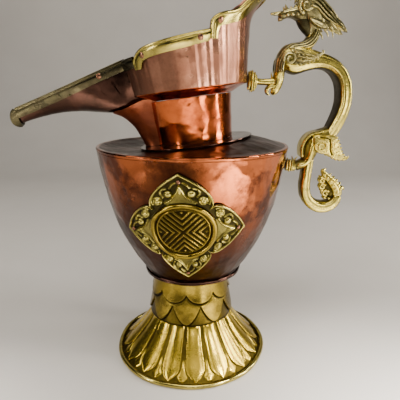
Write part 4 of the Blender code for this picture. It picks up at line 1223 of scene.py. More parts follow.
@dataclass
class Spout:
    """The open gutter spout, its throat, its brass strips and its tip, in the leaning frame."""

    cap: Cap
    reach: float = 0.1400
    root: float = 0.0340
    tip_half: float = 0.0060
    root_half: float = 0.0202
    rim_rise: float = 0.0249
    rim_slope: float = 0.2500
    square_end: float = 0.0460
    round_start: float = 0.0860
    squareness: float = 13.0
    wall_root: float = 0.0365
    band_width: float = 0.0070
    band_start: float = 0.0065
    band_overlap: float = 0.0085
    roll: Row = (0.0010, 0.0009)
    # The strip's run over the cap's front, in degrees off the handle side
    cap_span: Row = (133.6, 152.6)
    tip_length: float = 0.0080
    tip_drop: float = 0.0035
    tip_flare: float = 0.00048
    throat_base_half: float = 0.0090
    throat_top_half: float = 0.0166
    throat_front: float = 0.0605
    throat_start: float = 0.0106
    throat_root: float = 0.0340
    nose_round: float = 0.0040
    nose_back: float = 0.0026
    clearance: float = 0.0003
    # Share of the way from root to tip, height above the cap's lower edge
    keel_line: Rows = (
        (0.0, -0.0048), (0.085, -0.0071), (0.18, -0.0094), (0.275, -0.0091), (0.49, -0.0054), (0.64, -0.0047),
        (0.79, -0.0061), (0.915, -0.0084), (1.0, -0.0114))
    # Share of the throat's height, share of its spread from the neck's base to the gutter
    throat_line: Rows = (
        (0.0, 0.0), (0.10, 0.045), (0.30, 0.153), (0.506, 0.262), (0.663, 0.40), (0.865, 0.66), (1.0, 1.0))
    # Fold lines on the gutter's sides near its root: distance forward and height, in millimetres
    folds: tuple[Rows, ...] = (((64.1, 48.4), (57.0, 39.9)), ((53.8, 52.7), (49.7, 43.9)))
    fold_mm: float = 0.55
    fold_depth: float = 0.0003

    @property
    def band_span(self) -> Row:
        """Gives where the strips start and end, in front of the neck's axis."""
        return self.cap.radius + self.band_start, self.reach - self.tip_length - self.clearance

    def half(self, forward: Array) -> Array:
        """Gives the gutter's half width, which narrows evenly to the tip."""
        share = np.clip((forward - self.cap.radius) / (self.reach - self.cap.radius), 0, 1)
        return self.root_half + (self.tip_half - self.root_half) * share

    def rim(self, forward: Array) -> Array:
        """Gives the rim's height, which drops in a round nose at the tip."""
        nose = np.maximum(0, forward - (self.reach - self.tip_length)) / self.tip_length
        slope = self.rim_slope * (forward - self.cap.radius)
        return self.cap.base + self.rim_rise - slope - self.tip_drop * nose**2

    def keel(self, forward: Array) -> Array:
        """Gives the height of the gutter's lowest line."""
        return self.cap.base + lookup(self.keel_line, (forward - self.root) / (self.reach - self.root))

    def power(self, forward: Array) -> Array:
        """Gives the section's power: a square-sided trough at the root that turns into a round keel."""
        share = np.clip((forward - self.square_end) / (self.round_start - self.square_end), 0, 1)
        return self.squareness * (2 / self.squareness) ** share

    def local(self, forward: Array, side: Array, offset: Array | float = 0.0) -> Array:
        """Places points on the gutter's section, in the leaning frame.

        Formula: height rises from keel to rim by a power of the share of the half width, and points move out
        square to that curve by an offset.

        Args:
            forward: Distances in front of the neck's axis.
            side: Shares of the half width, from -1 to 1.
            offset: Distances from the sheet's middle.

        Returns:
            Points in the leaning frame.
        """
        half, keel, power = self.half(forward), self.keel(forward), self.power(forward)
        depth = self.rim(forward) - keel
        share = np.abs(side)
        slope = power * depth * np.sign(side) * share ** (power - 1) / half
        length = np.hypot(1, slope)
        across = half * side + offset * slope / length
        height = keel + depth * share**power - offset / length
        return np.stack(np.broadcast_arrays(-forward, across, height), -1)

    def point(self, forward: Array, side: Array, offset: Array | float = 0.0) -> Array:
        """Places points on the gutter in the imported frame."""
        return self.cap.layout.leaning(self.local(forward, side, offset))

    def gutter(self) -> Shape:
        """Builds the gutter's sheet.

        Formula: the section from root to tip; the floor starts at the neck's mouth and the walls inside the
        cap's front edges; slight hammer marks and two fold lines are pressed in.

        Returns:
            The shape.
        """
        side = np.sin(np.linspace(-1, 1, 91) * math.pi / 2)[:, None]
        floor = np.sqrt(self.root**2 - (self.root_half * side) ** 2)
        blend = np.clip((np.abs(side) - 0.86) / 0.08, 0, 1)
        start = floor + (self.wall_root - floor) * blend
        end = self.reach - self.nose_back - 0.6 * self.nose_round
        forward = start + (end - start) * np.linspace(0, 1, 150)[None, :]
        flat = np.abs(self.local(forward, side)[..., [0, 2]]) * MM_PER_METRE
        folds = np.maximum.reduce([bump(reach(flat, fold), self.fold_mm) for fold in self.folds])
        depth = self.cap.vessel.dents(side * 1.4, forward, 0.06, 30.0) * 0.5
        depth = depth + self.fold_depth * folds * (np.abs(side) > 0.5)
        half = self.cap.gauge / 2
        return Shape().slab(self.point(forward, side, half - depth), self.point(forward, side, -half - depth))

    def throat(self) -> Shape:
        """Builds the beak-like sheet in front of the neck, from its base up to the gutter's underside.

        Formula: at each level a half oval, squarer as it rises, whose two ends rest on the neck and whose
        front runs out along the throat's line; each column's height grows evenly up to the gutter's outside.

        Returns:
            The shape.
        """
        neck, gauge = self.cap.neck, self.cap.gauge
        rise = np.linspace(0, 1, 60)[:, None]
        angle = np.radians(np.linspace(-90, 90, 101))[None, :]
        half = self.throat_base_half + (self.throat_top_half - self.throat_base_half) * rise**1.6
        rear = np.sqrt(neck.radius(rise) ** 2 - half**2) - 0.0006
        start = neck.base_radius + self.throat_start
        front = start + (self.throat_front - start) * lookup(self.throat_line, rise)
        cosine, sine = squared(angle, 1 - 0.45 * rise)
        ahead = rear + (front - rear) * cosine
        side = half * sine
        under = self.local(ahead[-1], side[-1] / self.half(ahead[-1]), gauge / 2 + self.clearance)[..., 2]
        level = neck.base + (under - neck.base) * rise
        face = np.stack([-ahead, side, level], -1)
        dents = self.cap.vessel.dents(angle, rise * neck.height, 0.05, 40.0)[..., None]
        inward = unit((np.array([-self.throat_root, 0.0, 0.0]) - face) * (1, 1, 0))
        lean = self.cap.layout.leaning
        return Shape().slab(lean(face + inward * dents * 0.5), lean(face + inward * gauge))

    def strip(self, side: Side) -> Shape:
        """Builds the brass strip along one side of the gutter and over the cap's front, with a rolled edge.

        Formula: straight lines across the strip, bowed outward; its rim edge carries a round wire.

        Args:
            side: Which side.

        Returns:
            The shape.
        """
        cap = self.cap
        start, end = self.band_span
        forward = np.linspace(start - self.band_overlap, end, 130)
        depth = self.rim(forward) - self.keel(forward)
        low = np.maximum(0.04, 1 - self.band_width / depth) ** (1 / self.power(forward))
        across = np.linspace(0, 1, 14)[:, None]
        place = side.value * (low + (1 - low) * across)
        near, face = cap.band_back, cap.bowed(across, 0.78, 0.08)
        shade = 1 - 0.9 * bump(across - 0.78, 0.09)
        shape = Shape().slab(self.point(forward, place, face), self.point(forward, place, near), shade)
        edge = self.point(forward, np.full_like(forward, side.value), near)
        edge[:, 2] -= cap.roll_drop
        out = np.tile((0.0, side.value, 0.3), (len(forward), 1))
        shape.loft(tube(edge, out, *self.roll, 12))
        degrees = np.linspace(*self.cap_span, 40)
        rim = np.interp(degrees, *np.transpose(cap.wall_rim)) + cap.roll_drop
        rise = rim - self.band_width * (1 - across)
        turn = side.value * degrees
        shape.slab(cap.point(turn, rise, face), cap.point(turn, rise, near), shade)
        return shape.loft(tube(*cap.rim_wire(turn, rim), *self.roll, 12))

    def nose(self) -> Shape:
        """Builds the brass sleeve round the spout's tip, with a rolled lip.

        Formula: the gutter's section moved out; its end is drawn back towards the rim and the keel, as a half
        round seen from the side, and a round wire follows that end.

        Returns:
            The shape.
        """
        side = np.linspace(-1, 1, 61)[:, None]
        back = 1 - np.sqrt(np.clip(1 - (2 * side**2 - 1) ** 2, 0, 1))
        end = self.reach - self.nose_back - self.nose_round * back
        share = np.linspace(0, 1, 30)[None, :]
        forward = self.reach - self.tip_length + (end - self.reach + self.tip_length) * share
        near = self.cap.band_back
        far = self.cap.band_face + self.tip_flare * share
        shape = Shape().slab(self.point(forward, side, far), self.point(forward, side, near))
        lip = self.point(end[:, 0], side[:, 0], near + 0.0006)
        out = self.point(end[:, 0], side[:, 0], near + 0.002) - lip
        return shape.loft(tube(lip, out, *self.roll, 12))

    def rivets(self) -> Shape:
        """Builds the rivet heads on the spout's strips.

        Returns:
            The shape.
        """
        start, end = self.band_span
        forward = np.array(start + (end - start) / 7)
        depth = self.rim(forward) - self.keel(forward)
        face = self.cap.band_face
        shape = Shape()
        for side in Side:
            middle = side.value * (1 - self.band_width * 0.5 / depth) ** (1 / self.power(forward))
            place = self.point(forward, middle, face)
            outward = self.point(forward, middle, 2 * face) - place
            shape.loft(rivet(place, outward, self.cap.rivet_radius, self.cap.rivet_height))
        return shape

    def build(self, looks: Palette) -> None:
        """Builds and dresses the spout.

        Args:
            looks: Materials.
        """
        self.gutter().piece("spout_gutter_sheet", looks.painted_dark, Slot.COPPER, "spout_gutter")
        self.throat().piece("spout_throat_sheet", looks.rough_orange_reflection, Slot.COPPER, "spout_throat")
        for side in Side:
            name = side.name.lower()
            self.strip(side).piece(
                "spout_strip_" + name, looks.tarnished, Slot.SHEET_BRASS, "spout_band_" + name)
        self.nose().piece("spout_nose", looks.tarnished, Slot.SHEET_BRASS, "spout_tip")
        self.rivets().piece(
            "spout_rivet_heads", looks.pin, Slot.COPPER, "rivet_spout_left", "rivet_spout_right")


@dataclass
class Medallion:
    """The four-lobed brass plaque with its roundel and rivets, once on each side of the body."""

    vessel: Vessel
    rise: float = 0.0500
    shift: float = 0.0050
    lean: float = math.radians(2.5)
    near: float = 0.00045
    gauge: float = 0.0014
    roundel: float = 0.0225
    rim: float = 0.0036
    rim_rise: float = 0.0026
    rivet_reach: float = 0.0375
    rivet_radius: float = 0.0015
    rivet_height: float = 0.0012
    hole_gap: float = 0.0003
    ground: float = 0.0005
    border_half: float = 0.0009
    border_rise: float = 0.0013
    scroll_rise: float = 0.0027
    dish: float = 0.0004
    fret_radius: float = 0.0172
    fret_rise: float = 0.0008
    ring_radius: float = 0.0177
    ring_width: float = 0.00055
    # Radius of the smallest ring, which a flat face closes
    pole: float = 0.0004
    # Half of a lobe's outline, from notch to tip: distance along the lobe and half width
    lobe: Rows = (
        (0.0182, 0.0182), (0.0215, 0.0197), (0.0262, 0.0184), (0.0325, 0.0138), (0.0380, 0.0076),
        (0.0408, 0.0036), (0.0432, 0.0000))

    def place(self, across: Array, up: Array, offset: Array | float) -> Array:
        """Lays flat ornament points on the front of the wall.

        Formula: a small turn and shift in the flat, then the way across becomes a turn round the body and the
        way up a height on the wall; the offset moves points out square to the wall.

        Args:
            across: Flat places, to the right.
            up: Flat places, up.
            offset: Distance from the wall.

        Returns:
            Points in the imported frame.
        """
        vessel, step = self.vessel, MM
        middle = vessel.layout.wall_base + self.rise
        right = across * math.cos(self.lean) - up * math.sin(self.lean) - self.shift
        above = across * math.sin(self.lean) + up * math.cos(self.lean)
        grade = float(vessel.radius(middle + step) - vessel.radius(middle - step)) / (2 * step)
        height = middle + above / math.hypot(1, grade)
        slope = (vessel.radius(height + step) - vessel.radius(height - step)) / (2 * step)
        length = np.hypot(1, slope)
        radius = vessel.radius(height) + offset / length
        angle = right / float(vessel.radius(middle))
        x = vessel.layout.axis_x + radius * np.sin(angle)
        return np.stack(np.broadcast_arrays(x, -radius * np.cos(angle), height - offset * slope / length), -1)

    def scrolls(self, along: Array, half: Array) -> Array:
        """Gives the embossed ornament of one lobe, mirrored about its middle.

        Formula: the greatest of several forms: a pointed leaf between two hollow-sided ridges, a curl and a
        boss on each flank as half balls, and thin leaves round them; the curl has a groove cut round it.

        Args:
            along: Distance from the roundel's middle along the lobe.
            half: Distance from the lobe's middle line.

        Returns:
            Heights from zero to one.
        """
        flat = np.stack([along, np.abs(half)], -1) * MM_PER_METRE
        leaf = spline([(22.8, 9.0), (24.8, 5.8), (27.8, 3.2), (31.0, 1.4), (34.4, -0.2)], 30)
        form = 0.72 * bump(reach(flat, leaf), 0.80)
        form = np.maximum(form, 0.60 * bump(reach(flat, [(29.6, 0.0), (33.4, 0.0)]), 1.0))
        inside = flat[..., 1] < np.interp(flat[..., 0], leaf[:, 0], leaf[:, 1])
        form = np.maximum(form, 0.24 * inside * (flat[..., 0] < 34))
        thin = (
            [(26.6, 10.2), (29.4, 11.6), (31.8, 10.4), (32.4, 8.0)],
            [(21.2, 17.0), (23.4, 17.7), (25.8, 16.8)], [(33.2, 5.6), (35.4, 4.0), (36.6, 2.2)])
        for line in thin:
            form = np.maximum(form, 0.55 * bump(reach(flat, spline(line, 16)), 0.62))
        curl = np.linalg.norm(flat - (23.7, 13.6), axis=-1)
        ball = np.sqrt(np.clip(1 - (curl / 3.1) ** 2, 0, 1)) - 0.38 * bump(curl - 1.75, 0.38)
        boss = np.linalg.norm(flat - (29.0, 6.7), axis=-1)
        knob = 0.9 * np.sqrt(np.clip(1 - (boss / 2.5) ** 2, 0, 1))
        return np.maximum(np.maximum(form, ball), knob)

    def plaque(self) -> Shape:
        """Builds the plaque round the roundel.

        Formula: each lobe's outline is a smooth curve from notch to tip and back; rows run from the roundel's
        edge to the outline; the scrollwork and a raised border lift the face.

        Returns:
            The shape.
        """
        curve = spline(self.lobe, 62)
        curve[0], curve[-1] = self.lobe[0], self.lobe[-1]
        outline = np.vstack([curve, curve[-2:0:-1] * (1, -1)])
        hole = self.roundel + self.hole_gap
        inner = outline * (hole / np.linalg.norm(outline, axis=1, keepdims=True))
        share = np.linspace(0, 1, 64)[:, None, None]
        flat = inner + (outline - inner) * share
        along, half = flat[..., 0], flat[..., 1]
        edge = np.linalg.norm(outline - inner, axis=1) * (1 - share[..., 0])
        border = np.sqrt(np.clip(1 - (edge / self.border_half - 1) ** 2, 0, 1))
        inside = np.clip((edge - 0.0014) / 0.0008, 0, 1)
        scroll = self.scrolls(along, half) * inside
        height = np.maximum(self.border_rise * border, self.scroll_rise * scroll)
        relief_and_shade = np.clip(1.25 * np.maximum(border, scroll), 0, 1)
        quarter = np.arange(4) * math.pi / 2
        across = np.concatenate([along * math.cos(t) + half * math.sin(t) for t in quarter], axis=1)
        up = np.concatenate([along * math.sin(t) - half * math.cos(t) for t in quarter], axis=1)
        height, relief_and_shade = np.tile(height, 4), np.tile(relief_and_shade, 4)
        front = self.place(across, up, self.near + self.ground + height)
        return Shape().slab(front, self.place(across, up, self.near), relief_and_shade, joined=True)

    def fret(self, across: Array, up: Array) -> Array:
        """Gives the ridges of the roundel's fret: nested angles between crossed bars, in all four quarters.

        Formula: the greatest of round ridges along straight runs, taken on the distances from both diagonals.

        Args:
            across: Flat places, to the right.
            up: Flat places, up.

        Returns:
            Heights from zero to one.
        """
        flat = np.stack([np.abs(across + up), np.abs(across - up)], -1) * MM_PER_METRE / math.sqrt(2)
        runs = [[(near, 17.0), (near, near), (17.0, near)] for near in (1.5, 4.5, 7.5)]
        runs.append([(10.9, 10.9), (11.1, 11.1)])
        distance = np.minimum.reduce([reach(flat, run) for run in runs])
        return np.clip(1.35 * bump(distance, 0.46), 0, 1)

    def disc(self) -> Shape:
        """Builds the roundel: a thick half-round rim, a fine inner ring and the fret.

        Formula: rings from the back's middle out to the edge and over the face back to the middle.

        Returns:
            The shape.
        """
        turn = full_turn(300)
        inner = self.roundel - self.rim
        rim, field = np.linspace(self.roundel, inner, 16), np.linspace(inner, self.pole, 74)
        radius = np.concatenate([rim, field[1:]])[:, None]
        middle = self.roundel - self.rim / 2
        bead = np.sqrt(np.clip(1 - ((radius - middle) / (self.rim / 2)) ** 2, 0, 1))
        ring = bump(radius - self.ring_radius, self.ring_width)
        fret = self.fret(radius * np.cos(turn), radius * np.sin(turn))
        lines = np.maximum(fret * np.clip((self.fret_radius - radius) / 0.0006, 0, 1), 0.8 * ring)
        height = self.gauge - self.dish + np.maximum(self.rim_rise * bead, self.fret_rise * lines)
        relief_and_shade = np.maximum(lines, np.clip(bead * 1.6, 0, 1))
        radius = np.vstack([[[self.pole], [self.roundel]], radius])
        back = ((2, 0), (0, 0))
        points = self.place(radius * np.cos(turn), radius * np.sin(turn), self.near + np.pad(height, back))
        return Shape().loft(points, np.pad(relief_and_shade, back))

    def rivets(self) -> Shape:
        """Builds the four rivet heads at the lobes' tips.

        Returns:
            The shape.
        """
        shape = Shape()
        face = self.near + self.gauge
        for quarter in range(4):
            angle = quarter * math.pi / 2
            across, up = self.rivet_reach * np.cos([angle]), self.rivet_reach * np.sin([angle])
            place = self.place(across, up, face)[0]
            outward = self.place(across, up, face + MM)[0] - place
            shape.loft(rivet(place, outward, self.rivet_radius, self.rivet_height))
        return shape

    def build(self, looks: Palette) -> None:
        """Builds and dresses both medallions; the back one mirrors the front one.

        Args:
            looks: Materials.
        """
        plaque, disc, rivets = self.plaque(), self.disc(), self.rivets()
        for place in ("front", "back"):
            nodes = [f"rivet_plaque_{place}_{corner}" for corner in range(1, 5)]
            plaque.piece(f"plaque_{place}_scrolls", looks.olive, Slot.SHEET_BRASS, f"plaque_{place}")
            disc.piece(f"roundel_{place}_fret", looks.shaded_brass, Slot.SHEET_BRASS, f"roundel_{place}")
            rivets.piece(f"plaque_{place}_rivet_heads", looks.pin, Slot.COPPER, *nodes)
            plaque, disc, rivets = plaque.mirrored(), disc.mirrored(), rivets.mirrored()


@dataclass
class DragonHandle:
    """The cast dragon that bends from the cap's rear to the wall, with its tail below.

    Its tables are millimetres from the seat on the wall: x away from the body, z up.
    """

    layout: Layout
    vessel: Vessel
    hind_drop: float = 0.0138
    standoff: float = 0.0020

    def seat(self) -> Array:
        """Gives the place on the wall that the handle's lengths are measured from."""
        height = self.layout.wall_top - self.hind_drop
        return np.array([self.layout.axis_x + float(self.vessel.radius(height)) + self.standoff, 0.0, height])

    def place(self, x: Array, side: Array | float, z: Array) -> Array:
        """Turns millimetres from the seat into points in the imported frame."""
        return np.stack(np.broadcast_arrays(x, side, z), -1) * MM + self.seat()

    def limb(self, rows: npt.ArrayLike, count: int = 70, sides: int = 24, spread: float = 0.0,
             power: float = 0.75, first: float = 0.0, last: float = 0.0) -> Array:
        """Carries a flat-sided oval along a path in the handle's plane.

        Args:
            rows: Rows of x, z, half thickness and half depth.
            count: Rings along the path.
            sides: Points round each ring.
            spread: Sideways place of the path.
            power: How square the oval is.
            first: Share of the path that rounds off its start.
            last: Share of the path that rounds off its end.

        Returns:
            Rings of points.
        """
        line = spline(rows, count)
        path = self.place(line[:, 0], spread, line[:, 1])
        tangent = unit(np.gradient(path, axis=0))
        out = np.stack([-tangent[:, 2], np.zeros(count), tangent[:, 0]], -1)
        half = line[:, 2:] * MM * round_ends(count, first, last)[:, None]
        return tube(path, out, half[:, 0], half[:, 1], sides, power)

    def spikes(self, shape: Shape, spread: float, *tables: Rows) -> None:
        """Adds thin limbs that run out to points, one for each table of rows, at a sideways place."""
        for rows in tables:
            shape.loft(self.limb(rows, 10 * len(rows), 12, spread, 1.0, 0.08, 0.04))

    def beads(self, shape: Shape, spread: float, *rows: Row) -> None:
        """Adds round beads.

        Args:
            shape: What they are added to.
            spread: Sideways place.
            rows: Place and radius of each bead.
        """
        for x, z, size in rows:
            ends = [(x, z + 0.8 * size, size, size), (x, z - 0.8 * size, size, size)]
            shape.loft(self.limb(ends, 12, 12, spread, 1.0, 0.5, 0.5))

    def coil(self, x: float, z: float, radius: float, turns: float, start: float, half: float,
             spread: float) -> Array:
        """Carries a round wire along a flat spiral, raised on the handle's side.

        Formula: the radius shrinks evenly with the angle, and the wire thins towards the middle.

        Args:
            x: Middle of the spiral.
            z: Middle of the spiral.
            radius: Outer radius.
            turns: Number of turns, negative to wind clockwise.
            start: Angle of its outer end, in degrees.
            half: Half thickness of the wire.
            spread: Sideways place.

        Returns:
            Rings of points.
        """
        share = np.linspace(0, 1, 60)
        angle = math.radians(start) + turns * math.tau * share
        size = radius * (1 - 0.82 * share)
        wire = half * (1 - 0.35 * share)
        rows = np.stack([x + size * np.cos(angle), z + size * np.sin(angle), wire, 1.25 * wire], -1)
        return self.limb(rows, 72, 12, spread, 1.0, 0.04, 0.04)

    def carved(self, top: npt.ArrayLike, bottom: npt.ArrayLike, near: Row, gauge: float, strands: int = 0,
               ribs: tuple[npt.ArrayLike, ...] = (), cuts: tuple[npt.ArrayLike, ...] = (), crown: float = 0.0,
               ground: float = 0.50) -> tuple[Array, Array, Array]:
        """Makes a carved plate on the right side.

        Formula: straight lines between a top and a bottom edge, laid on a quarter round from one sideways
        place to another; the face is rounded off at its edges, cut in between strands and along lines, and
        raised along ribs.

        Args:
            top: Corners of the top edge, from root to tip.
            bottom: Corners of the bottom edge.
            near: Sideways places of the back: at the top and the bottom of the root, and of the tip.
            gauge: Greatest thickness.
            strands: Number of strands along the plate.
            ribs: Lines to raise.
            cuts: Lines to cut.
            crown: How much the root's middle stands out more than its edges.
            ground: Height share between the ribs.

        Returns:
            Front points, back points and relief shares.
        """
        count = 110
        upper, lower = spline(top, count), spline(bottom, count)
        share = np.linspace(0, 1, 46)[:, None]
        along = np.linspace(0, 1, count)
        flat = upper + (lower - upper) * share[..., None]
        edge = np.minimum(share, 1 - share) * np.linalg.norm(lower - upper, axis=-1)
        soft = np.sqrt(np.clip(1 - (1 - np.clip(edge / 1.3, 0, 1)) ** 2, 0.02, 1))
        soft = soft * round_ends(count, 0.03, 0.06)
        form = np.full_like(edge, ground)
        if strands:
            form = form + 0.38 - 0.70 * bump(1 - np.abs(2 * ((share * strands) % 1.0) - 1), 0.34)
        for line in ribs:
            form = np.maximum(form, ground + (1 - ground) * bump(reach(flat, line), 0.75))
        for line in cuts:
            form = form - 0.45 * bump(reach(flat, line), 0.55)
        first = near[0] + (near[2] - near[0]) * along
        last = near[1] + (near[3] - near[1]) * along
        base = first + (last - first) * np.sin(share * math.pi / 2)
        base = base + crown * np.sin(share * math.pi) * np.clip(1 - 1.8 * along, 0, 1)
        front = self.place(flat[..., 0], base + gauge * form * soft, flat[..., 1])
        back = self.place(flat[..., 0], base - 0.6, flat[..., 1])
        return front, back, np.clip((form - 0.38) / 0.5, 0.05, 1) * (0.35 + 0.65 * soft)

    def arch(self) -> Shape:
        """Builds the arched body: a strap with a raised back and shade painted on its inner face.

        Formula: a squared oval along the arch, grooved along both flanks.

        Returns:
            The shape.
        """
        rows = [
            (-8.5, 77.5, 5.0, 7.4), (-3.0, 79.0, 9.2, 8.8), (3.5, 79.6, 10.6, 9.2), (11.5, 79.6, 8.4, 9.5),
            (19.5, 79.0, 6.2, 9.8), (26.3, 77.4, 5.2, 10.2), (32.0, 74.4, 4.9, 10.7), (37.0, 69.2, 4.8, 11.0),
            (40.4, 61.8, 4.8, 11.2), (41.6, 52.5, 4.8, 11.2), (40.8, 44.0, 4.8, 11.0),
            (37.9, 35.0, 4.9, 10.2), (34.6, 27.8, 4.8, 9.0), (32.0, 22.0, 4.2, 7.6)]
        rings = self.limb(rows, 150, 48, power=0.6, first=0.06)
        angle = around(48)
        groove = 0.9 * bump(np.cos(angle) - 0.10, 0.09) + 0.7 * bump(np.cos(angle) + 0.50, 0.09)
        groove = groove * (np.abs(np.sin(angle)) > 0.5)
        # Painted shade: the inner face, turned to the body, is darkened as if in shadow.
        inner = np.clip((-np.cos(angle) - 0.55) / 0.25, 0, 1)
        relief_and_shade = np.clip(1 - 0.85 * groove - 0.95 * inner, 0, 1)
        return Shape().loft(drawn_in(rings, 0.065 * groove), relief_and_shade[None, :])

    def neck(self) -> Shape:
        """Builds the S-shaped neck, a throat painted dark as shade, and the strands that flow from it down
        the chest.

        Returns:
            The shape.
        """
        shape = Shape().slab(*self.carved(
            [(14.6, 101.0), (12.6, 96.6), (8.8, 93.4), (4.5, 91.8), (-1.5, 91.0), (-4.8, 88.8), (-8.1, 85.4),
             (-10.1, 82.2), (-11.7, 79.1), (-12.3, 74.6), (-12.3, 70.5)],
            [(20.2, 99.5), (18.6, 93.6), (14.6, 88.4), (8.6, 86.6), (2.6, 86.0), (-0.4, 85.0), (-2.6, 83.0),
             (-4.4, 80.4), (-5.6, 77.4), (-6.2, 74.0), (-6.4, 70.2)],
            (3.0, 3.6, 5.6, 8.4), 2.2, 4, crown=3.0)).doubled()
        shape.loft(self.limb([
            (2.0, 82.0, 6.4, 6.6), (7.0, 85.6, 5.2, 5.6), (12.0, 90.8, 4.4, 5.0), (15.0, 96.2, 4.4, 4.8),
            (15.6, 102.5, 5.0, 5.6), (15.6, 108.0, 6.4, 6.8)], 80, 28, power=0.85), 0.6)
        shape.loft(self.limb([
            (2.4, 88.4, 2.6, 4.6), (-3.4, 87.4, 3.0, 5.2), (-7.0, 83.2, 3.2, 5.8), (-8.8, 77.6, 3.0, 6.0),
            (-9.2, 71.5, 2.6, 5.6)], 50, 22, power=0.85), 0.9)
        # Painted shade: the throat under the jaw is held near black, as if in shadow.
        shape.loft(self.limb([
            (8.0, 109.5, 6.6, 5.6), (9.2, 105.0, 5.6, 5.2), (10.8, 101.0, 4.2, 4.6), (11.8, 97.8, 2.6, 4.0),
            (12.0, 95.0, 1.2, 3.0)], 50, 22, power=0.85, last=0.06), 0.12)
        return shape

    def head(self) -> Shape:
        """Builds the skull and the open upper jaw, with brows, eyes, nostrils, ringed cheeks, teeth and ears.

        Returns:
            The shape.
        """
        shape = Shape()
        shape.loft(self.coil(8.2, 116.2, 6.3, -1.7, 255, 1.15, 7.6))
        for rows, spread in (
                (((12.8, 127.5, 1.2, 1.3), (8.5, 129.5, 1.6, 1.8), (4.0, 129.0, 1.6, 1.8),
                  (0.5, 126.8, 0.9, 1.0)), 6.6),
                (((15.0, 123.8, 2.2, 1.0), (19.0, 126.8, 2.6, 1.0), (23.2, 128.8, 1.6, 0.8),
                  (25.6, 130.0, 0.4, 0.5)), 8.5),
                (((2.2, 122.2, 1.0, 0.9), (1.8, 120.2, 0.7, 0.6), (1.0, 118.8, 0.2, 0.2)), 3.6),
                (((-1.0, 123.8, 1.0, 0.9), (-1.4, 122.2, 0.7, 0.6), (-2.2, 121.2, 0.2, 0.2)), 3.6),
                (((-4.0, 125.0, 1.0, 0.9), (-4.4, 122.7, 0.7, 0.6), (-5.2, 121.2, 0.2, 0.2)), 3.6)):
            self.spikes(shape, spread, rows)
        self.beads(shape, 7.0, (6.0, 125.0, 1.9))
        self.beads(shape, 2.8, (-5.6, 131.0, 1.7))
        shape.doubled()
        shape.loft(self.limb([
            (16.6, 102.5, 5.8, 6.3), (15.6, 109.8, 8.0, 7.8), (11.8, 118.4, 8.6, 8.0), (6.4, 124.5, 6.4, 7.0),
            (1.0, 127.6, 4.6, 5.5), (-4.0, 129.2, 4.0, 4.7), (-6.0, 130.0, 3.6, 4.0)], 90, 32, power=0.85,
            last=0.05), 0.55)
        return shape.loft(self.limb([
            (3.0, 123.0, 1.2, 5.0), (-2.0, 125.2, 1.0, 4.2), (-5.8, 126.2, 0.9, 3.4),
            (-8.2, 128.5, 0.8, 2.6)], 40, 14, first=0.1, last=0.1))

    def jaw(self) -> Shape:
        """Builds the lower jaw with its tusks, its chin and the tongue.

        Returns:
            The shape.
        """
        shape = Shape()
        self.spikes(
            shape, 3.9, ((-5.0, 113.0, 1.7, 1.3), (-6.0, 115.0, 1.0, 0.9), (-7.0, 117.4, 0.2, 0.2)),
            ((-1.6, 113.4, 1.3, 1.0), (-2.4, 114.8, 0.8, 0.7), (-3.0, 116.2, 0.2, 0.2)),
            ((1.8, 113.8, 1.6, 1.2), (1.2, 115.4, 1.0, 0.8), (0.2, 117.0, 0.2, 0.2)))
        self.spikes(shape, 5.2, (
            (7.0, 111.8, 1.3, 1.2), (2.6, 114.2, 1.3, 1.2), (-1.5, 113.6, 1.1, 1.1), (-5.0, 112.9, 1.0, 1.0),
            (-8.6, 112.0, 0.8, 0.8)))
        self.beads(shape, 4.9, (-1.4, 110.4, 1.5), (-5.0, 110.0, 1.4), (2.4, 110.6, 1.5), (6.0, 109.4, 1.5))
        shape.doubled()
        shape.loft(self.limb([
            (10.0, 110.4, 5.2, 6.2), (5.0, 110.6, 4.6, 6.0), (0.5, 111.5, 3.3, 5.6), (-4.0, 111.4, 2.6, 4.9),
            (-8.0, 110.4, 2.8, 4.2), (-10.8, 109.2, 2.1, 3.0)], 60, 24, first=0.05, last=0.10), 0.3)
        shape.loft(self.limb([
            (-3.0, 112.0, 1.2, 2.6), (-7.0, 112.2, 1.4, 2.4), (-10.0, 112.0, 1.4, 2.0),
            (-13.3, 111.5, 1.2, 1.5), (-16.8, 111.6, 0.8, 0.9)], 50, 14, 0.0, 1.0, 0.05, 0.05))
        self.spikes(shape, 0.0, ((-8.0, 109.6, 2.2, 2.2), (-9.6, 108.0, 1.8, 1.7), (-10.6, 106.4, 0.4, 0.4)))
        return shape

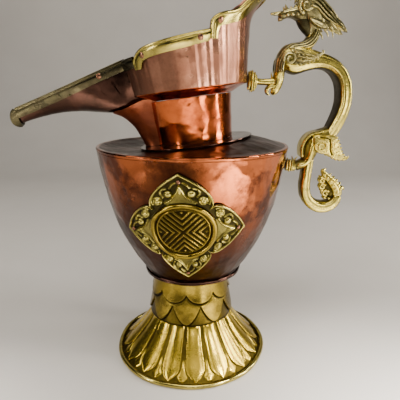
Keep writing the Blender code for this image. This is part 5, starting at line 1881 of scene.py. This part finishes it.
    def mane(self) -> Shape:
        """Builds the mane of the right side: a long swept plume, a broad leaf under it and ragged ends.

        Returns:
            The shape.
        """
        shape = Shape().slab(*self.carved(
            [(13.5, 126.0), (18.0, 122.0), (21.6, 118.8), (26.1, 114.6), (31.2, 108.5), (35.8, 103.5),
             (39.1, 98.0)],
            [(10.5, 114.5), (15.0, 113.0), (18.2, 109.7), (21.5, 106.8), (25.5, 104.4), (30.0, 102.2),
             (36.3, 98.2)], (6.2, 7.4, 5.4, 6.4), 3.0, 4))
        shape.slab(*self.carved(
            [(9.6, 108.0), (14.3, 108.4), (18.6, 106.4), (22.2, 103.3), (24.5, 100.2)],
            [(9.9, 105.6), (12.4, 103.4), (14.7, 102.0), (18.2, 100.5), (23.3, 99.7)],
            (7.4, 7.8, 7.0, 7.2), 3.4, ground=0.82,
            ribs=([(11.0, 106.6), (15.5, 105.2), (19.6, 103.2), (23.0, 100.6)],)))
        self.spikes(
            shape, 6.8, ((25.5, 105.4, 1.3, 1.5), (28.4, 102.6, 0.9, 1.1), (31.4, 99.8, 0.2, 0.3)),
            ((29.6, 104.0, 1.3, 1.5), (32.6, 101.2, 0.9, 1.1), (35.6, 98.4, 0.2, 0.3)),
            ((31.2, 102.0, 0.8, 1.0), (32.2, 98.6, 0.5, 0.6), (32.6, 95.6, 0.2, 0.2)),
            ((21.8, 100.4, 1.0, 1.2), (24.0, 97.4, 0.7, 0.8), (24.7, 94.6, 0.2, 0.2)))
        return shape

    def horn(self, side: Side) -> Shape:
        """Builds one ringed horn.

        Args:
            side: Which horn.

        Returns:
            The shape.
        """
        rings = self.limb([
            (10.5, 126.8, 2.3, 2.3), (13.8, 131.2, 2.1, 2.1), (17.2, 135.0, 1.8, 1.8),
            (19.8, 139.8, 1.3, 1.3), (20.5, 144.8, 0.5, 0.5)], 80, 16, side.value * 4.2, 1.0)
        place = np.linspace(0, 1, 80)[:, None]
        step = 0.5 + 0.5 * np.cos(place * math.tau * 9)
        return Shape().loft(drawn_in(rings, 0.14 * step * (place < 0.8)), np.clip(1 - 0.7 * step, 0, 1))

    def wing(self) -> Shape:
        """Builds the right wing: a beaded, scalloped leaf behind the coil on the shoulder.

        Returns:
            The shape.
        """
        shape = Shape().slab(*self.carved(
            [(-0.5, 86.2), (3.0, 86.8), (6.4, 85.6), (9.2, 84.2), (12.2, 84.0), (16.8, 82.5), (20.4, 82.6)],
            [(0.2, 76.2), (3.4, 75.8), (6.6, 75.9), (9.6, 76.4), (12.6, 77.2), (16.2, 78.6), (19.8, 80.8)],
            (7.4, 8.4, 8.6, 8.8), 3.0, ribs=(
                [(1.5, 84.4), (6.0, 83.6), (11.0, 82.2), (16.0, 81.4), (19.5, 81.7)],
                [(3.0, 81.4), (7.0, 80.6), (12.0, 79.9), (17.0, 80.4)],
                [(3.2, 78.6), (7.0, 78.0), (12.0, 78.5), (15.0, 79.4)])))
        self.beads(
            shape, 9.4, (2.0, 76.2, 1.35), (5.2, 75.9, 1.35), (8.3, 76.2, 1.35), (11.4, 77.0, 1.25),
            (14.6, 78.2, 1.15), (17.6, 79.8, 1.0))
        self.beads(
            shape, 10.2, (3.6, 82.6, 0.8), (6.7, 82.2, 0.75), (9.6, 81.2, 0.75), (5.4, 79.4, 0.75),
            (9.0, 79.2, 0.75), (13.0, 80.8, 0.7))
        self.spikes(shape, 9.6, (
            (15.6, 82.3, 1.1, 1.3), (18.8, 82.3, 1.1, 1.3), (21.0, 83.5, 0.9, 1.1), (21.4, 85.0, 0.7, 0.8),
            (20.2, 85.7, 0.3, 0.3)))
        shape.loft(self.coil(-2.4, 79.8, 5.0, -1.55, 215, 1.15, 9.3))
        return shape.loft(self.coil(-0.6, 86.0, 2.4, -1.1, 160, 0.8, 8.2))

    def foreleg(self) -> Shape:
        """Builds the foreleg with its curled claws and a spur.

        Returns:
            The shape.
        """
        shape = Shape().loft(self.limb([
            (-7.0, 77.5, 3.8, 6.0), (-7.4, 73.7, 3.8, 5.8), (-8.4, 70.0, 4.2, 5.4), (-8.8, 65.5, 4.1, 4.8),
            (-9.8, 60.8, 3.7, 4.3), (-11.4, 57.2, 3.0, 3.6), (-13.8, 54.6, 1.3, 1.8)], 70, 22, power=0.85,
            last=0.05), 0.9)
        for spread in (-3.0, 0.0, 3.0):
            self.spikes(shape, spread, (
                (-11.6, 60.4, 1.7, 1.5), (-15.0, 60.2, 1.6, 1.4), (-17.2, 58.2, 1.3, 1.2),
                (-17.0, 55.6, 0.9, 0.8), (-15.4, 54.0, 0.3, 0.3)))
        self.spikes(shape, 0.0, ((-13.2, 66.0, 1.0, 1.1), (-14.0, 68.4, 0.6, 0.7), (-14.4, 71.0, 0.2, 0.2)))
        return shape

    def grip(self, shape: Shape, start: float, level: float, reach_up: float, reach_down: float) -> None:
        """Adds a claw that is pressed against the ewer: a pad painted near black as shade, with upright toes
        round it.

        Args:
            shape: What they are added to.
            start: How far from the seat the claw's flat side is.
            level: Height of the claw's middle.
            reach_up: How far the toes stand up.
            reach_down: How far they hang down.
        """
        # Painted shade: the pad behind the toes is near black, standing for the shade between them.
        shape.loft(self.limb([
            (start + 2.6, level + 0.8 * reach_up, 2.4, 4.2), (start + 2.6, level, 2.6, 4.6),
            (start + 2.6, level - 0.8 * reach_down, 2.4, 4.2)], 30, 18, 0.0, 0.9, 0.3, 0.3), 0.05)
        # Painted shade on each toe, darker along its sides where the toes meet.
        shade = 0.6 - 0.55 * np.abs(np.cos(around(14))) ** 3
        for out, spread, up, down in (
                (0.9, 4.4, 0.92, 0.80), (2.8, 4.9, 1.0, 1.0), (4.6, 4.4, 0.84, 0.92),
                (6.0, 2.6, 0.6, 0.66), (6.0, 0.0, 0.5, 0.56)):
            x, top, foot = start + out, level + up * reach_up, level - down * reach_down
            rows = [
                (x + 0.3, top, 0.5, 0.8), (x + 0.1, (top + level) / 2, 0.95, 1.3), (x, level, 1.0, 1.5),
                (x - 0.1, (foot + level) / 2, 0.95, 1.3), (x - 0.3, foot, 0.4, 0.6)]
            for place in {spread, -spread}:
                shape.loft(self.limb(rows, 40, 14, place, 1.0, 0.1, 0.08), shade[None, :])

    def forearm(self) -> Shape:
        """Builds the forearm and the claw foot that grips the cap's rear, finger by finger.

        Returns:
            The shape.
        """
        low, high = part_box("forearm")
        start, end = ((edge - self.seat()[0]) * MM_PER_METRE for edge in (low.x, high.x))
        level = 64.0
        shape = Shape().loft(self.limb([
            (start + 2.8, level + 0.3, 3.6, 4.0), (start + 5.6, level + 0.3, 3.0, 3.8),
            (start + 8.0, level, 2.5, 3.4), ((start + end) / 2 + 2.0, level - 0.3, 2.4, 3.3),
            (end + 1.5, level - 0.2, 2.9, 3.6)], 50, 20, power=0.85), 0.85)
        self.grip(shape, start, level, 8.6, 8.0)
        return shape

    def hind(self) -> tuple[Shape, Shape]:
        """Builds the hind leg, hollowed along its front behind a thin rim, and the paw on the wall.

        Returns:
            The leg and the paw.
        """
        ridge = [
            (22.4, 23.2, 1.5, 1.6), (20.2, 21.4, 2.0, 1.8), (20.0, 17.6, 2.1, 2.0), (19.0, 13.4, 2.1, 2.0),
            (18.0, 8.6, 2.2, 2.0), (16.6, 4.2, 2.2, 1.8), (13.0, 1.4, 1.8, 1.5), (8.4, 0.4, 1.4, 1.2)]
        leg = Shape().loft(self.limb(ridge, 70, 14, 6.2, 1.0, 0.06, 0.06)).doubled()
        leg.loft(self.limb([
            (34.0, 26.0, 5.6, 8.2), (27.0, 20.5, 8.2, 7.8), (20.2, 14.8, 6.8, 7.0), (18.0, 8.0, 5.4, 6.4),
            (15.4, 2.4, 4.2, 5.8), (7.8, -1.0, 3.7, 5.6)], 80, 28, power=0.85), 0.22)
        rim = spline([(29.0, 27.6), (23.6, 26.2), (18.4, 24.8), (15.0, 22.2), (12.6, 18.6), (11.4, 14.2),
                      (11.4, 10.4), (12.2, 6.0)], 40)
        rows = np.column_stack([rim, np.full(40, 1.3), np.full(40, 7.6)])
        leg.loft(self.limb(rows, 60, 20, power=0.5, first=0.06, last=0.06))
        web = np.column_stack([rim + (2.2, -1.0), np.full(40, 2.2), np.full(40, 4.8)])
        leg.loft(self.limb(web, 60, 14, power=0.9, first=0.06, last=0.06), 0.05)
        paw = Shape().loft(self.limb([
            (0.8, 0.0, 4.6, 5.2), (3.4, -0.4, 4.6, 5.2), (7.6, -1.0, 3.9, 5.2)], 24, 20, power=0.9), 0.6)
        self.grip(paw, -0.2, 0.0, 5.0, 5.0)
        self.spikes(paw, 2.0, ((6.4, 2.6, 0.9, 0.9), (6.0, 4.8, 0.6, 0.6), (5.4, 6.8, 0.2, 0.2)),
                    ((7.0, 2.4, 0.9, 0.9), (8.6, 4.6, 0.6, 0.6), (10.0, 6.4, 0.2, 0.2)))
        return leg, paw

    def haunch(self) -> Shape:
        """Builds the right haunch plate: a coil on the hip, a cut behind it, and a beaded flame.

        Returns:
            The shape.
        """
        shape = Shape().slab(*self.carved(
            [(18.6, 23.9), (22.9, 24.8), (28.2, 24.5), (33.2, 24.2), (36.6, 22.6), (38.8, 18.4), (40.8, 13.4),
             (43.0, 8.9), (45.6, 7.1)],
            [(20.6, 14.6), (22.2, 11.4), (25.4, 9.9), (28.5, 9.7), (31.2, 8.8), (34.4, 6.6), (37.8, 5.2),
             (41.5, 4.8), (44.6, 5.6)],
            (7.2, 7.8, 7.4, 7.4), 2.6, ground=0.80, cuts=(
                [(31.4, 21.2), (32.2, 17.8), (32.2, 13.4), (34.0, 9.2)],
                [(24.0, 22.6), (29.0, 22.2), (31.2, 20.8)])))
        self.beads(
            shape, 8.6, (36.9, 22.4, 1.2), (38.2, 19.9, 1.2), (39.3, 17.2, 1.2), (40.3, 14.5, 1.2),
            (41.4, 11.8, 1.15), (42.8, 9.4, 1.1), (44.8, 7.6, 0.9), (34.6, 6.9, 1.2), (37.4, 5.8, 1.2),
            (40.2, 5.3, 1.1), (42.9, 5.5, 1.0))
        self.beads(
            shape, 9.4, (34.6, 20.6, 0.95), (35.6, 17.4, 0.95), (36.4, 14.2, 0.95), (37.6, 11.2, 0.9),
            (39.4, 8.6, 0.85), (35.2, 9.4, 0.9), (34.4, 12.6, 0.9), (33.9, 16.0, 0.9), (37.2, 18.8, 0.85),
            (38.4, 15.4, 0.85), (39.4, 12.0, 0.8))
        self.spikes(
            shape, 8.6,
            ((42.4, 6.2, 1.4, 1.5), (45.0, 6.0, 1.0, 1.1), (46.6, 7.0, 0.6, 0.7), (46.9, 8.4, 0.2, 0.2)))
        return shape.loft(self.coil(25.4, 16.0, 5.0, -1.6, 190, 1.25, 9.4))

    def tail(self) -> Shape:
        """Builds the curling tail with a groove along each flank and shade painted on its inner and outer
        edges.

        Returns:
            The shape.
        """
        rows = [
            (18.4, 5.0, 3.8, 5.4), (17.2, -4.0, 4.0, 6.4), (16.6, -10.0, 4.0, 7.0), (16.2, -17.0, 4.1, 7.2),
            (17.4, -24.4, 4.3, 7.2), (21.2, -30.2, 4.5, 7.2), (27.0, -33.8, 4.8, 7.1),
            (33.2, -34.4, 4.8, 6.8), (38.8, -32.4, 4.4, 6.2), (42.4, -28.4, 4.0, 5.4),
            (43.6, -24.0, 3.3, 4.8)]
        rings = self.limb(rows, 130, 36, power=0.65, last=0.05)
        angle = around(36)
        groove = bump(np.cos(angle) - 0.15, 0.20) * (np.abs(np.sin(angle)) > 0.5)
        # Painted shade: the faces at the curl's inner and outer edges are darkened as if in shade.
        painted_dark = np.clip((np.abs(np.cos(angle)) - 0.55) / 0.25, 0, 1)
        relief_and_shade = np.clip(1 - 0.85 * groove - 0.7 * painted_dark, 0, 1)
        return Shape().loft(drawn_in(rings, 0.07 * groove), relief_and_shade[None, :])

    def tuft(self) -> Shape:
        """Builds the tail's tuft: a hooked, beaded flame with a ragged back, and curls in front of it.

        Returns:
            The shape.
        """
        shape = Shape()
        self.beads(
            shape, 3.9, (42.6, -22.0, 1.5), (40.8, -18.8, 1.5), (38.6, -15.8, 1.5), (36.0, -13.0, 1.4),
            (33.6, -10.2, 1.2), (31.5, -7.4, 1.0), (44.8, -19.4, 1.5), (42.8, -16.2, 1.5), (40.2, -13.2, 1.4),
            (37.6, -10.8, 1.3))
        self.beads(shape, 2.0, (33.2, -27.0, 1.5), (36.6, -27.4, 1.5), (30.4, -20.8, 1.2), (29.0, -9.8, 1.1))
        for x, z, size in ((30.4, -12.8, 2.7), (30.8, -17.8, 2.7), (33.6, -23.4, 3.0)):
            shape.loft(self.coil(x, z, size, 1.25, 20, 1.1, 2.4))
        shape.doubled()
        for x, z in ((36.6, -8.4), (39.6, -10.4), (42.4, -12.8), (45.0, -15.4)):
            self.spikes(
                shape, 0.0,
                ((x - 1.8, z - 1.8, 1.6, 3.2), (x - 0.2, z - 0.2, 1.1, 2.2), (x + 1.0, z + 1.2, 0.2, 0.4)))
        shape.loft(self.limb([
            (43.4, -26.0, 4.0, 4.6), (42.6, -20.4, 4.2, 4.4), (39.6, -15.4, 3.9, 4.2),
            (35.8, -11.4, 3.2, 3.8), (32.2, -7.8, 2.5, 3.2), (30.8, -4.8, 1.5, 2.4), (33.4, -3.2, 0.3, 0.5)],
            70, 20, power=0.8, first=0.05, last=0.03), 0.75)
        shape.loft(self.limb([
            (43.0, -22.0, 3.4, 4.2), (45.4, -19.6, 2.8, 3.6), (47.4, -19.2, 1.7, 2.6),
            (49.2, -20.8, 0.3, 0.5)], 40, 18, power=0.8, first=0.1, last=0.03), 0.9)
        return shape.loft(self.limb([
            (40.0, -26.0, 2.4, 2.2), (36.0, -21.5, 3.4, 2.2), (33.0, -16.0, 2.6, 2.2),
            (31.6, -11.0, 1.6, 2.0)], 40, 16, first=0.1, last=0.1), 0.05)

    def build(self, looks: Palette) -> None:
        """Builds and dresses the handle.

        Args:
            looks: Materials.
        """
        slot = Slot.CAST_BRASS
        leg, paw = self.hind()
        for name, shape, node, finish in (
                ("dragon_arch", self.arch(), "dragon_body", looks.cast),
                ("dragon_neck_strands", self.neck(), "dragon_neck", looks.darkened),
                ("dragon_head_cast", self.head(), "dragon_head", looks.darkened),
                ("dragon_jaw_cast", self.jaw(), "dragon_jaw", looks.darkened),
                ("foreleg_claws", self.foreleg(), "foreleg", looks.cast),
                ("forearm_claw", self.forearm(), "forearm", looks.cast),
                ("hind_leg_cast", leg, "hind_leg", looks.cast), ("hind_paw", paw, "hind_claw", looks.cast),
                ("tail_curl", self.tail(), "tail", looks.cast),
                ("tail_tuft_flames", self.tuft(), "tail_tuft", looks.cast)):
            shape.piece(name, finish, slot, node)
        for side in Side:
            name = side.name.lower()
            self.horn(side).piece("horn_ringed_" + name, looks.darkened, slot, "horn_" + name)
        for title, shape, node, finish in (
                ("mane_plume_", self.mane(), "mane_", looks.darkened),
                ("wing_flame_", self.wing(), "wing_", looks.darkened),
                ("haunch_coil_", self.haunch(), "haunch_flame_", looks.cast)):
            shape.piece(title + "right", finish, slot, node + "right")
            shape.mirrored().piece(title + "left", finish, slot, node + "left")


@dataclass
class Studio:
    """A pale floor that sweeps up behind, soft lights and the camera."""

    layout: Layout
    floor_tone: str = "#D2CFCA"
    floor_mottle: str = "#C8C4BE"
    lamp_tone: str = "#FFF8EE"
    camera_offset: float = 0.0060
    camera_distance: float = 0.3180
    camera_height: float = 0.2155
    camera_pitch: float = math.radians(14.83)
    lens: float = 36.0
    # The floor's sweep: half width, front edge, start and radius of the turn, top, drop under the foot
    sweep_half: float = 2.4
    sweep_front: float = -1.6
    sweep_turn: float = 0.75
    sweep_radius: float = 0.55
    sweep_top: float = 1.9
    sweep_drop: float = 0.0002
    glow_tone: str = "#8C8F94"
    glow: float = 0.10

    def floor(self) -> None:
        """Builds the floor: a flat run that turns up behind in a quarter circle, as a paper sweep does."""
        arc, radius = np.linspace(0, math.pi / 2, 24), self.sweep_radius
        run = np.concatenate([
            [self.sweep_front], self.sweep_turn + radius * np.sin(arc), [self.sweep_turn + radius]])
        rise = np.concatenate([[0.0], radius * (1 - np.cos(arc)), [self.sweep_top]]) - self.sweep_drop
        across = np.linspace(-self.sweep_half, self.sweep_half, 12)[None, :]
        points = np.stack(np.broadcast_arrays(across, run[:, None], rise[:, None]), -1)
        faces = grid_faces(*points.shape[:2], False, False)
        mesh = bpy.data.meshes.new("floor_sweep")
        mesh.from_pydata(points.reshape(-1, 3).tolist(), [], faces.tolist())
        mesh.shade_smooth()
        # Matt paper: pale, with a faint mottle and no gloss
        paper = bpy.data.materials.new("matt_paper")
        paper.use_nodes = True
        tree = paper.node_tree
        place = add_node(tree, "ShaderNodeTexCoord", {}, {}).outputs["Object"]
        mottle = add_node(
            tree, "ShaderNodeTexNoise", {}, {"Vector": place, "Scale": 9.0, "Detail": 3.0}).outputs["Fac"]
        tone = add_node(tree, "ShaderNodeMix", {"data_type": "RGBA"}, {
            "0": mottle, "6": linear(self.floor_tone), "7": linear(self.floor_mottle)}).outputs[2]
        shader = tree.nodes["Principled BSDF"]
        tree.links.new(tone, shader.inputs["Base Color"])
        shader.inputs["Roughness"].default_value = 0.85
        mesh.materials.append(paper)
        item = bpy.data.objects.new("floor_sweep", mesh)
        bpy.context.scene.collection.objects.link(item)

    def softbox(self, name: str, place: Row, size: Row, power: float, target: Row = (0.0, 0.0, 0.15),
                spread: float = 180.0) -> None:
        """Adds a rectangular soft light.

        Args:
            name: The light's name.
            place: Where it hangs.
            size: Width and height.
            power: Watts.
            target: What it faces.
            spread: Angle that its light keeps within, in degrees.
        """
        data = bpy.data.lights.new(name, "AREA")
        data.shape = "RECTANGLE"
        data.size, data.size_y = size
        data.energy = power
        data.color = linear(self.lamp_tone)[:3]
        data.spread = math.radians(spread)
        item = bpy.data.objects.new(name, data)
        item.location = place
        aim = np.array(target) - np.array(place)
        yaw = math.atan2(aim[0], -aim[1])
        drop = math.atan2(math.hypot(aim[0], aim[1]), -aim[2])
        item.rotation_euler = (drop, 0.0, yaw + math.pi)
        bpy.context.scene.collection.objects.link(item)

    def camera(self) -> None:
        """Sets the camera at the viewing angle."""
        data = bpy.data.cameras.new("view")
        data.lens, data.sensor_width, data.clip_start = self.lens, 36.0, 0.01
        item = bpy.data.objects.new("view", data)
        item.location = (self.layout.axis_x + self.camera_offset, -self.camera_distance, self.camera_height)
        item.rotation_euler = (math.pi / 2 - self.camera_pitch, 0.0, 0.0)
        bpy.context.scene.collection.objects.link(item)
        bpy.context.scene.camera = item

    def build(self) -> None:
        """Builds the stage, the lights, the room's dim glow and the camera."""
        self.floor()
        for light in (
                ("strip_right", (0.95, -0.20, 0.42), (0.10, 0.80), 10.0),
                ("strip_right_rear", (0.92, 0.16, 0.42), (0.04, 0.70), 4.0),
                ("card_low", (0.57, -0.75, 0.11), (0.22, 0.20), 1.8),
                ("strip_left", (-0.90, -0.62, 0.38), (0.08, 0.55), 4.0),
                ("card_left", (-0.72, -0.22, 0.82), (0.50, 0.30), 3.0),
                ("overhead", (0.0, -0.55, 1.25), (0.90, 0.60), 10.0),
                ("floor_pool_right", (0.44, -0.40, 0.36), (0.10, 0.10), 2.3, (0.25, -0.22, 0.0), 44.0),
                ("floor_pool_left", (-0.40, -0.40, 0.30), (0.06, 0.06), 0.5, (-0.24, -0.20, 0.0), 36.0),
                ("floor_pool_front", (0.0, -1.15, 0.60), (0.30, 0.20), 7.0, (0.0, -0.85, 0.0), 70.0),
                ("front_card", (0.10, -1.45, 0.85), (1.30, 0.50), 3.0)):
            self.softbox(*light)
        world = bpy.data.worlds.new("room")
        world.use_nodes = True
        glow = world.node_tree.nodes["Background"]
        glow.inputs["Color"].default_value = linear(self.glow_tone)
        glow.inputs["Strength"].default_value = self.glow
        bpy.context.scene.world = world
        self.camera()


def main() -> None:
    """Builds every sub-assembly in order, then the stage."""
    logging.basicConfig(level=logging.INFO, format="%(name)s: %(message)s")
    looks = Palette.make()
    layout = Layout.from_frame()
    vessel = Vessel(layout)
    neck = Neck(layout, vessel)
    cap = Cap(layout, vessel, neck)
    handle = DragonHandle(layout, vessel)
    for assembly in (LotusFoot(layout), vessel, neck, cap, Spout(cap), Medallion(vessel), handle):
        assembly.build(looks)
    Studio(layout).build()


if __name__ == "__main__":
    main()
